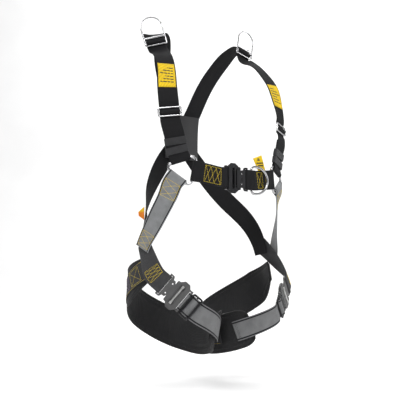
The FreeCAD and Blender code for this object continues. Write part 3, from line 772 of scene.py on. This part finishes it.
def on_top(path):
    """Height of a path's outermost face, as a function of arc length."""
    rows = catmull(path, 1.5)

    def height(s):
        best = None
        for (s0, h0, _, _), (s1, h1, _, _) in zip(rows, rows[1:]):
            if min(s0, s1) <= s <= max(s0, s1) and abs(s1 - s0) > 1e-6:
                h = h0 + (h1 - h0) * (s - s0) / (s1 - s0)
                best = h if best is None else max(best, h)
        return (0.0 if best is None else best) + WEB_T / 2

    return height


class Threads:
    """Many small stitches gathered in one mesh."""

    # along the stitch, thickness and lift of each ring of points
    RINGS = ((0.0, 0.25, -0.5), (0.18, 0.85, 0.1), (0.5, 1.0, 0.35), (0.82, 0.85, 0.1), (1.0, 0.25, -0.5))
    AROUND = 6
    SHORTEST = 0.2

    def __init__(self, name, material, radius=0.5):
        self.name, self.material, self.radius = name, material, radius
        self.vertices, self.faces = [], []

    def stitch(self, a, b, up):
        along = b - a
        if along.length < self.SHORTEST:
            return
        side = up.cross(unit(along))
        n = self.AROUND
        first = len(self.vertices)
        for t, size, lift in self.RINGS:
            middle = a.lerp(b, t) + up * (lift * self.radius)
            wide = self.radius * size
            self.vertices += section(middle, side * wide, up * (wide * 0.8), n)
        spans = len(self.RINGS) - 1
        self.faces += skin(spans, n, first)
        self.faces.append(tuple(first + k for k in reversed(range(n))))
        self.faces.append(tuple(first + spans * n + k for k in range(n)))

    def run(self, track, corners, height, flip=False, pitch=3.6, gap=0.8, outward_sign=1):
        """Stitches along a line of (s, across) corners on a track's surface."""
        for (s0, y0), (s1, y1) in zip(corners, corners[1:]):
            length = math.hypot(s1 - s0, y1 - y0)
            count = max(1, int(round(length / pitch)))
            for i in range(count):
                ends = []
                for t in (i / count + gap / 2 / length, (i + 1) / count - gap / 2 / length):
                    s, y = s0 + (s1 - s0) * t, y0 + (y1 - y0) * t
                    point, forward, across, outward = track.at(s)
                    h = height(s) if callable(height) else height
                    ends.append(mirrored(point + across * y + outward * (h * outward_sign), flip))
                self.stitch(ends[0], ends[1], mirrored(outward * outward_sign, flip))

    def make(self):
        return add_object(self.name, self.vertices, self.faces, self.material)


def sew(name, material, track, lines, height, flip=False, radius=0.5):
    """One seam group: stitches along every line."""
    threads = Threads(name, material, radius)
    for line in lines:
        threads.run(track, line, height, flip)
    return threads.make()


def box_pattern(s0, s1, half, crosses=1):
    """A sewn box with one or more crosses side by side along it."""
    margin = 1.5
    box = [(s0, -half), (s1, -half), (s1, half), (s0, half), (s0, -half)]
    step = (s1 - s0 - 2 * margin) / crosses
    zig = []
    for i in range(crosses + 1):
        zig.append((s0 + margin + step * i, (half - margin) * (1 if i % 2 else -1)))
    return [box, zig, [(s, -y) for s, y in zig]]


def lines_across(s, half, rows=2, pitch=3.0):
    return [[(s + k * pitch, -half), (s + k * pitch, half)] for k in range(rows)]


def plates(name, boxes, material):
    """Thin raised bars, each given by its corners' points and its outward direction."""
    vertices, faces = [], []
    for corners, up in boxes:
        first = len(vertices)
        for lift in (0.0, BAR_LIFT):
            for p in corners:
                vertices.append(metres(p + up * lift))
        faces.append(tuple(first + 4 + k for k in range(4)))
        faces += skin(1, 4, first)
    return add_object(name, vertices, faces, material, smooth=False)


def ride(made, body, *nodes):
    if nodes:
        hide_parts(*nodes)
    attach(made, body)
    return made


# ---------------------------------------------------------------- straps on each side

SIDES = (("R", False), ("L", True))     # the left side is mirrored
CROSS_LEVEL = {"R": -1.5, "L": 1.5}     # which strap lies on top where they cross

BELT_ZERO = BELT.nearest(CHEST_BUCKLE[0])
CHEST_S = BELT_ZERO + BUCKLE_X
DEE_S = BELT_ZERO + FRONT_RING_X
LEG_S = THIGH.nearest(LEG_BUCKLE[0])
LEG_FRAME_S = LEG_S + LEG_FRAME_X
SEAM_TOP = LAY + WEB_T / 2              # top face where two layers are sewn together

LABEL_W = 39.0
LABEL_H = WEB_T / 2 + 0.2 + TRIM_T / 2  # height of a label's middle above its strap
LABEL_FACE = LABEL_H + TRIM_T / 2
LABEL_ROWS = 6
ROW_PITCH = 7.4
BAR_DEPTH = 2.6                         # height of a printed bar
BAR_GAP = 1.6                           # space between two bars of a row

KEEPER_HALF = (22.6, 3.1)               # flat half width and half thickness of a sleeve
KEEPER_CURVE = (1.5, 0.4)               # extra roundness at its sides and faces
KEEPER_THICK = 0.0009


def shoulder_webbing(side, flip):
    track = SHOULDERS[side]
    path = shoulder_path(track, side, CROSS_LEVEL[side])
    name = "shoulder_webbing_" + side
    made = strap(name, track, path, BLACK_WEB, bunched(side), flip=flip, wobble=0.1)
    ride(made, "webbing", "shoulder_strap_" + side)


def label_bars(track, flip):
    """Plain bars in rows, in place of printed lines; the last row is short."""
    bars = []
    for row in range(LABEL_ROWS):
        s = LABEL_S[0] + 12 + row * ROW_PITCH
        y = -15
        stop = 15 - 6 * (row % 3) if row != LABEL_ROWS - 1 else -2
        while y < stop:
            wide = 5 + 5 * random.random()
            end = min(y + wide, stop)
            corners = []
            for ds, yy in ((0, y), (0, end), (BAR_DEPTH, end), (BAR_DEPTH, y)):
                point, forward, across, outward = track.at(s + ds)
                corners.append(mirrored(point + across * yy + outward * LABEL_FACE, flip))
            bars.append((corners, mirrored(outward, flip)))
            y = end + BAR_GAP
    return bars


def shoulder_label(side, flip):
    track = SHOULDERS[side]
    low, high = LABEL_S
    path = [(s, LABEL_H) for s in LABEL_S]
    label = strap("label_cloth_" + side, track, path, YELLOW, LABEL_W, TRIM_T, flip)
    ride(label, "webbing", "label_" + side)
    ride(plates("label_bars_" + side, label_bars(track, flip), INK), "webbing")
    seam = Threads("label_seam_" + side, DARK_THREAD, 0.25)
    edge = [(low + 2, -18), (high - 2, -18), (high - 2, 18), (low + 2, 18), (low + 2, -18)]
    seam.run(track, edge, LABEL_FACE, flip, 2.6, 0.7)
    ride(seam.make(), "webbing")


def keepers(side, flip):
    """Sleeves of ribbed elastic round both layers of the strap."""
    around, rows = 72, 14
    for name, s in zip(("lower", "upper"), KEEPERS):
        point, forward, across, outward = SHOULDERS[side].at(s)
        vertices, uvs = [], []
        for j in range(rows + 1):
            along = -KEEPER_L / 2 + KEEPER_L * j / rows
            for k in range(around):
                a = 2 * math.pi * k / around
                cx, cz = math.cos(a), math.sin(a)
                y = KEEPER_HALF[0] * max(-1, min(1, cx * 1.25)) + KEEPER_CURVE[0] * cx
                z = KEEPER_HALF[1] * max(-1, min(1, cz * 1.7)) + KEEPER_CURVE[1] * cz
                z *= 1.0 - 0.05 * (abs(along) / KEEPER_L * 2) ** 4
                vertices.append(metres(point + forward * along + across * y + outward * z, flip))
                uvs.append((j / rows, k / around * 2.2))
        title = "keeper_elastic_%s_%s" % (name, side)
        made = add_object(title, vertices, skin(rows, around), ELASTIC, uvs)
        solid = made.modifiers.new("thickness", "SOLIDIFY")
        solid.thickness = KEEPER_THICK
        solid.offset = -1.0
        ride(made, "keepers_" + side, "keeper_%s_%s" % (name, side))


def hip(side, flip):
    made = strap("hip_webbing_" + side, HIP, hip_path(), GREY_WEB, flip=flip, wobble=0.2)
    ride(made, "webbing", "hip_strap_" + side)
    lines = box_pattern(15, 52, 18, 2) + box_pattern(HIP.length - 38, HIP.length - 5, 18, 2)
    ride(sew("hip_stitching_" + side, THREAD, HIP, lines, SEAM_TOP, flip), "webbing")


def thigh(side, flip):
    """Thigh strap round the buckle tongue's bar, with its sewn box."""
    path = thigh_path(LEG_S)
    made = strap("thigh_webbing_" + side, THIGH, path, CHARCOAL_WEB, flip=flip, wobble=0.25)
    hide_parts("thigh_strap_" + side)
    bar = LEG_S - TONGUE_BAR
    lines = box_pattern(bar - 48, bar - 20, 17, 3)
    sewn = sew("thigh_stitching_" + side, THREAD, THIGH, lines, SEAM_TOP, flip)
    ends = [metres(THIGH.at(s)[0], flip) for s in (8.0, bar - 8.0)]
    for piece in (made, sewn):
        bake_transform(piece)


def leg(side, flip):
    """Leg strap through the buckle's body and the adjuster."""
    path = leg_path(LEG_S, LEG_FRAME_S)
    made = strap("leg_webbing_" + side, THIGH, path, MID_WEB, flip=flip, wobble=0.2)
    ride(made, "webbing", "leg_strap_" + side)
    lines = lines_across(THIGH.length - 9, 19)
    ride(sew("leg_stitching_" + side, DARK_THREAD, THIGH, lines, WEB_T / 2, flip), "webbing")


for side, flip in SIDES:
    for make in (shoulder_webbing, shoulder_label, keepers, hip, thigh, leg):
        make(side, flip)

# ---------------------------------------------------------------- chest belt


def right_belt():
    path = belt_right(CHEST_S)
    made = strap("belt_webbing_right", BELT, path, BLACK_WEB, wobble=0.15)
    ride(made, "webbing", "belt_right")
    lines = box_pattern(24, 64, 18, 3)
    ride(sew("belt_stitching_right", THREAD, BELT, lines, on_top(path)), "webbing")


def left_belt():
    """Left half of the belt, round the buckle tongue's bar and the front D-ring."""
    path = belt_left(CHEST_S, DEE_S)
    made = strap("belt_webbing_left", BELT, path, BLACK_WEB, wobble=0.1)
    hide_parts("belt_left")
    lines = box_pattern(DEE_S + 16, DEE_S + 34, 18) + lines_across(DEE_S + 44, 19, 1)
    sewn = sew("belt_stitching_left", THREAD, BELT, lines, on_top(path))
    start = BELT.at(BELT.length - 6)[0] / 1000
    stop = BELT.at(DEE_S + 8)[0] / 1000
    for piece in (made, sewn):
        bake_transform(piece)


right_belt()
left_belt()

# ---------------------------------------------------------------- leg pads

PAD_ENDING = 10.0                        # length over which a pad thins to its ends
CHANNEL = 0.66                           # place of the sewn channels, as a part of the half width
RIBBON_H = PAD_T / 2 + 0.3 + WEB_T / 2   # height of the strap sewn on the pad
BINDING_HALF = (3.4, 2.5)                # half width and half height of the binding's section


def pad_half(s):
    return pad_width(s) / 2 - 2.0


def pad_ending(s):
    return min(1.0, s / PAD_ENDING, (LOOP.length - s) / PAD_ENDING)


def pad_droop(s, a):
    """How far the pad's edges roll in and out; a is -1 to 1 across it."""
    return 0.9 * math.sin(s / 23.0 + 1.1) * (abs(a) ** 3) * pad_ending(s)


def padding(side, flip):
    """Quilted pad: crowned, and pinched along two sewn channels."""
    rows, count = int(LOOP.length / 4.0), 26
    vertices, uvs = [], []
    for r in range(rows + 1):
        s = LOOP.length * r / rows
        point, forward, across, outward = LOOP.at(s)
        half = pad_half(s)
        for face in (1, -1):
            for i in range(count + 1):
                a = -1 + 2 * i / count
                crown = 0.30 + 0.70 * math.sqrt(max(0.0, 1 - a**4))
                pinch = 1 - 0.50 * math.exp(-((abs(a) - CHANNEL) / 0.055) ** 2)
                ripple = 1 + 0.10 * math.sin(s / 9.0 + 2.3 * a) + 0.07 * math.sin(s / 4.1 - 4.0 * a)
                z = face * (PAD_T / 2) * crown * pinch * ripple * (0.35 + 0.65 * pad_ending(s))
                if abs(a) < 0.60 and face > 0 and s > 70:
                    z = min(z, PAD_T / 2 * 0.97)
                p = point + across * (half * a * face) + outward * (z + pad_droop(s, a))
                vertices.append(metres(p, flip))
                uvs.append((0.5 + a / 2, s / PAD_W))
    ring = 2 * (count + 1)
    faces = skin(rows, ring) + [[r * ring + i for i in range(ring)] for r in (0, rows)]
    pad = face_out(add_object("leg_padding_" + side, vertices, faces, PAD_CLOTH, uvs))
    smooth = pad.modifiers.new("smooth", "SUBSURF")
    smooth.levels = smooth.render_levels = 1
    ride(pad, "webbing", "leg_pad_" + side)


def binding(side, flip):
    """Tape folded over the pad's whole edge."""
    length = LOOP.length
    steps, crossings, around = int(length / 3.5), 12, 10
    along = [length * i / steps for i in range(steps + 1)]
    down = [1.0 - 2.0 * k / crossings for k in range(1, crossings)]
    edge = [(s, 1.0) for s in along] + [(length, a) for a in down]
    edge += [(s, -1.0) for s in reversed(along)] + [(0.0, -a) for a in down]
    centres, ups = [], []
    for s, a in edge:
        point, forward, across, outward = LOOP.at(s)
        p = point + across * (pad_half(s) * a) + outward * pad_droop(s, a)
        centres.append(mirrored(p, flip))
        ups.append(mirrored(outward, flip))
    n = len(centres)
    vertices = []
    for i, (centre, up) in enumerate(zip(centres, ups)):
        ahead = centres[(i + 1) % n] - centres[i - 1]
        ahead = unit(ahead) if ahead.length > 1e-6 else V(0, 0, 1)
        sideways = unit(up.cross(ahead))
        vertices += section(centre, sideways * BINDING_HALF[0], up * BINDING_HALF[1], around)
    faces = [tuple(v % len(vertices) for v in face) for face in skin(n, around)]
    ride(add_object("leg_binding_" + side, vertices, faces, BINDING), "webbing")


def pad_seams(side, flip):
    seams = Threads("pad_seams_" + side, DARK_THREAD, 0.3)
    stops = [12 + (LOOP.length - 24) * k / 40 for k in range(41)]
    for a in (-0.86, 0.86):
        for sign in (1, -1):
            line = [(s, pad_half(s) * a) for s in stops]
            seams.run(LOOP, line, PAD_T / 2 * 0.82, flip, 3.4, 0.9, sign)
    ride(seams.make(), "webbing")


def pad_ribbon(side, flip):
    """The strap sewn along the pad, with its edge seams and two sewn boxes."""
    length = LOOP.length
    path = [(s, RIBBON_H) for s in (78, 160, 260, length)]
    ribbon = strap("pad_webbing_" + side, LOOP, path, CHARCOAL_WEB, flip=flip)
    ride(ribbon, "webbing", "pad_strap_" + side)
    top = RIBBON_H + WEB_T / 2
    stops = [82 + (length - 86) * k / 40 for k in range(41)]
    lines = [[(s, y) for s in stops] for y in (-20.5, 20.5)]
    lines += box_pattern(length - 60, length - 26, 17)
    ride(sew("pad_strap_seams_" + side, THREAD, LOOP, lines, top, flip, 0.36), "webbing")
    lines = box_pattern(length - 104, length - 70, 17)
    ride(sew("pad_boxes_" + side, PURPLE, LOOP, lines, top, flip, 0.42), "webbing")


for side, flip in SIDES:
    for make in (padding, binding, pad_seams, pad_ribbon):
        make(side, flip)

# ---------------------------------------------------------------- back

DORSAL = Track([
    (0, 108, -96, 0.00, 0.98, 0.18),
    (0, 118, -134, 0.00, 0.99, 0.10),
    (0, 121, -172, 0.00, 1.00, 0.00),
    (0, 121, -212, 0.00, 1.00, -0.02),
    (0, 119, -250, 0.00, 1.00, -0.04),
])
RING_LIFT = 3.5 + DEE_WIRE              # height of the back ring's bar over the track


def dorsal_loop():
    """Strap sewn down above and below the back ring's bar, which it holds."""
    at = DORSAL.nearest(CROSSING)
    crown = RING_LIFT + DEE_WIRE + GAP + WEB_T / 2
    rise = [(38, 4.4), (20, 4.6), (9, 7.2)]
    path = [(at - a, h) for a, h in rise] + [(at, crown)] + [(at + a, h) for a, h in reversed(rise)]
    made = strap("dorsal_webbing", DORSAL, path, BLACK_WEB)
    ride(made, "webbing", "dorsal_loop")
    lines = box_pattern(at - 35, at - 19, 18) + box_pattern(at + 19, at + 35, 18)
    ride(sew("dorsal_stitching", THREAD, DORSAL, lines, on_top(path)), "webbing")


dorsal_loop()

# ---------------------------------------------------------------- tags

FRONT_TAG = [(24, 4), (43, 12), (24, 60), (-7, 53)]
HIP_TAG = [(0, -16), (14, -6), (15, 3), (0, 15)]
HIP_TAG_ALONG = unit(V(0.62, 0.78, 0))
UP = V(0, 0, 1)


def between(corners, u, v):
    """A place inside four corners, u along the first edge and v away from it."""
    place = []
    for k in (0, 1):
        a, b, c, d = [corner[k] for corner in corners]
        place.append((a * (1 - u) + b * u) * (1 - v) + (d * (1 - u) + c * u) * v)
    return place


def tag(name, origin, x_dir, y_dir, corners, material, node, curl, flip=False):
    """Cloth tag between four corners, hemmed and slightly curled."""
    z_dir = x_dir.cross(y_dir)
    n = 14
    steps = range(n + 1)
    vertices, faces, grid = [], [], {}
    for face in (1, -1):
        for i, j in ((i, j) for i in steps for j in steps):
            u, v = i / n, j / n
            x, y = between(corners, u, v)
            hem = 0.12 if min(u, v, 1 - u, 1 - v) < 0.09 else 0.0
            z = curl * (v**2) * math.sin(2.4 * u + 0.4) + face * (TRIM_T * 0.5 + hem)
            grid[face, i, j] = len(vertices)
            vertices.append(metres(origin + x_dir * x + y_dir * y + z_dir * z, flip))
    for face in (1, -1):
        for i, j in ((i, j) for i in range(n) for j in range(n)):
            quad = [grid[face, i + a, j + b] for a, b in ((0, 0), (1, 0), (1, 1), (0, 1))]
            faces.append(quad if face > 0 else quad[::-1])
    border = [(i, 0) for i in range(n)] + [(n, j) for j in range(n)]
    border += [(i, n) for i in range(n, 0, -1)] + [(0, j) for j in range(n, 0, -1)]
    for (i, j), (k, m) in zip(border, border[1:] + border[:1]):
        faces.append((grid[1, i, j], grid[-1, i, j], grid[-1, k, m], grid[1, k, m]))
    return ride(face_out(add_object(name, vertices, faces, material)), "webbing", node)


def front_tag():
    """Tag tucked behind the belt beside the D-ring, with a few plain bars."""
    point, forward, across, outward = BELT.at(DEE_S + 20)
    origin = point - outward * 8.6
    made = tag("front_label", origin, forward, UP, FRONT_TAG, YELLOW, "front_tag", 0.8)
    (x0, y0), (x1, y1), (x2, y2), (x3, y3) = FRONT_TAG
    bars = []
    for y, start, stop in ((34.0, 0.16, 0.84), (40.0, 0.12, 0.90), (47.0, 0.36, 0.62), (50.0, 0.42, 0.56)):
        low = x0 - (y - y0) * (x0 - x3) / (y3 - y0)
        wide = x1 - (y - y1) * (x1 - x2) / (y2 - y1) - low
        left, right, top = low + wide * start, low + wide * stop, y + BAR_DEPTH
        lift = outward * (TRIM_T * 0.5 + 0.75)
        outline = ((left, y), (right, y), (right, top), (left, top))
        bars.append(([origin + forward * x + UP * yy + lift for x, yy in outline], outward))
    ride(plates("front_label_bars", bars, INK), "webbing")


def hip_tag():
    track = SHOULDERS["L"]
    point, forward, across, outward = track.at(track.nearest(V(143, 38, -382)))
    origin = point + outward * 3.0
    made = tag("hip_label", origin, HIP_TAG_ALONG, UP, HIP_TAG, ORANGE, "hip_tag", 0.4, flip=True)


def hip_seam(side, flip):
    """Stitching where the back strap reaches the hip."""
    track = SHOULDERS[side]
    lines = lines_across(track.nearest(V(143, 38, -380)) - 4, 19, 2, 8.0)
    ride(sew("hip_seam_" + side, THREAD, track, lines, WEB_T / 2, flip), "webbing")


front_tag()
hip_tag()
for side, flip in SIDES:
    hip_seam(side, flip)

# ---------------------------------------------------------------- hardware

COIL_STEPS, COIL_TURN, COIL_SIDES = 112, 16, 6   # steps, steps in a turn, sides of the wire
COIL_R, COIL_WIRE = 1.15, 0.3                    # radius of the coil and of its wire
COIL_FROM, COIL_LENGTH = 3.6, 13.4               # from the buckle's middle line, and length
COIL_BACK = 13.2                                 # behind the buckle's middle along the strap


def buckle_axes(line):
    """Forward, across and outward directions of a straight stretch."""
    forward = unit(line[1])
    outward = unit(line[2] - forward * line[2].dot(forward))
    return forward, outward.cross(forward), outward


def coil(name, line, shift, turned, sign, node, flip=False):
    """Coil spring behind a buckle's tab."""
    forward, across, outward = buckle_axes(line)
    across = across * turned
    centre = line[0] + forward * (shift - COIL_BACK * turned)
    vertices = []
    for i in range(COIL_STEPS + 1):
        a = 2 * math.pi * i / COIL_TURN
        radial = forward * math.cos(a) + outward * math.sin(a)
        p = centre + radial * COIL_R + across * (sign * (COIL_FROM + COIL_LENGTH * i / COIL_STEPS))
        vertices += section(p, radial * COIL_WIRE, across * COIL_WIRE, COIL_SIDES, flip)
    last = COIL_STEPS * COIL_SIDES
    faces = skin(COIL_STEPS, COIL_SIDES)
    faces += [tuple(reversed(range(COIL_SIDES))), tuple(last + k for k in range(COIL_SIDES))]
    made = add_object(name, vertices, faces, SPRING)
    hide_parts(node)
    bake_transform(made)


for place, sign in (("upper", 1), ("lower", -1)):
    coil("chest_coil_" + place, CHEST_BUCKLE, BUCKLE_X, 1, sign, "chest_springs")
    for side, flip in SIDES:
        name = "leg_coil_%s_%s" % (place, side)
        coil(name, LEG_BUCKLE, 0, -1, sign, "leg_springs_" + side, flip)

bar_axis = unit(buckle_axes(LEG_BUCKLE)[1])
KNURL = {
    "R": knurled("knurled bar right", tuple(bar_axis)),
    "L": knurled("knurled bar left", tuple(mirrored(bar_axis, True))),
}
RINGS = ("side_ring", "chest_adjuster", "shoulder_ring", "front_ring", "dorsal_ring")


def finish_for(node):
    """Material and slot of a metal or plastic part that shows as designed."""
    if node.startswith(RINGS):
        return RING_STEEL, "ring_steel"
    if node == "dorsal_plate":
        return PLASTIC, "back_plate"
    if node.startswith("leg_latch_bar"):
        return KNURL[node[-1]], "bright_steel"
    if node.startswith("leg_rivets"):
        return GUNMETAL, "bright_steel"
    if node.startswith(("leg_adjuster", "chest_")):
        return BLACK_STEEL, "black_metal"
    return GUNMETAL, "gunmetal"


for node, part in NODES.items():
    if part.hide_render:
        continue
    material, slot_name = finish_for(node)
    part.data.materials.clear()
    part.data.materials.append(material)

# ---------------------------------------------------------------- setting

YAW, PITCH = math.radians(-32.8), math.radians(-7.8)
DISTANCE = 1.7            # metres from the middle of the view
FOCAL = 713.8             # focal length, in widths of one pixel
PICTURE = 400             # width of the picture in pixels
SENSOR = 36.0
FLOOR_Z = CAD_LOW.z - 0.06
FLOOR_HALF = 6.0
COVE_FROM, COVE_R, COVE_TOP = 1.6, 1.2, 5.0   # where the floor curves up, and how far


def grey(x):
    return (x, x, x)


def backdrop():
    """Pale floor that curves up behind the harness."""
    profile = [(-FLOOR_HALF, 0.0), (COVE_FROM, 0.0)]
    for k in range(1, 13):
        a = math.pi / 2 * k / 12
        profile.append((COVE_FROM + COVE_R * math.sin(a), COVE_R - COVE_R * math.cos(a)))
    profile.append((COVE_FROM + COVE_R, COVE_TOP))
    vertices = [(x, y, FLOOR_Z + z) for y, z in profile for x in (-FLOOR_HALF, FLOOR_HALF)]
    faces = [(2 * k, 2 * k + 1, 2 * k + 3, 2 * k + 2) for k in range(len(profile) - 1)]
    material, tree, shader = new_material("pale floor")
    tint = ramp(tree, noise(tree, 3.0, 2.0), [(0.3, grey(0.86)), (0.7, grey(0.90))])
    tree.links.new(tint, shader.inputs["Base Color"])
    shader.inputs["Roughness"].default_value = 0.9
    floor = add_object("floor", vertices, faces, material)
    floor.rotation_euler = (0, 0, YAW)


def studio():
    """World light that is dark at the horizon, so that metal shows contrast."""
    world = bpy.data.worlds.new("studio")
    bpy.context.scene.world = world
    world.use_nodes = True
    tree = world.node_tree
    level = scaled(tree, axes(tree, "Generated")[2], 0.5, 0.5)
    stops = ((0.0, 0.5), (0.40, 0.22), (0.52, 0.03), (0.60, 0.30), (1.0, 0.9))
    shade = ramp(tree, level, [(at, grey(x)) for at, x in stops])
    background = tree.nodes["Background"]
    tree.links.new(shade, background.inputs[0])
    background.inputs[1].default_value = 0.75


def area_light(name, place, target, size, power):
    light = bpy.data.lights.new(name, "AREA")
    light.shape = "RECTANGLE"
    light.size, light.size_y = size
    light.energy = power
    lamp = bpy.data.objects.new(name, light)
    bpy.context.scene.collection.objects.link(lamp)
    lamp.location = place
    aim = Vector(target) - Vector(place)
    lamp.rotation_euler = aim.to_track_quat("-Z", "Y").to_euler()


def place_camera():
    level = math.cos(PITCH)
    back = V(math.sin(YAW) * level, -math.cos(YAW) * level, math.sin(PITCH))
    right = V(math.cos(YAW), math.sin(YAW), 0.0)
    camera = bpy.data.cameras.new("camera")
    camera.sensor_width = SENSOR
    camera.lens = FOCAL / PICTURE * SENSOR
    eye = bpy.data.objects.new("camera", camera)
    bpy.context.scene.collection.objects.link(eye)
    eye.location = V(0, 0, -0.344) - right * 0.015 + back * DISTANCE
    eye.rotation_mode = "QUATERNION"
    eye.rotation_quaternion = (-back).to_track_quat("-Z", "Y")
    bpy.context.scene.camera = eye


backdrop()
studio()
middle = (0.0, 0.0, -0.34)
area_light("key", (-1.6, -2.0, 1.3), middle, (1.0, 1.0), 48)
area_light("fill", (1.9, -1.5, 0.3), middle, (0.8, 1.6), 20)
area_light("top", (0.1, 0.3, 2.0), middle, (1.6, 1.6), 24)
area_light("rim", (0.6, 1.5, 0.6), middle, (1.2, 0.8), 16)
area_light("backdrop", (1.25, 1.2, 2.0), (1.6, 2.9, 0.0), (2.5, 1.5), 38)
place_camera()
bpy.context.scene.view_settings.view_transform = "Standard"
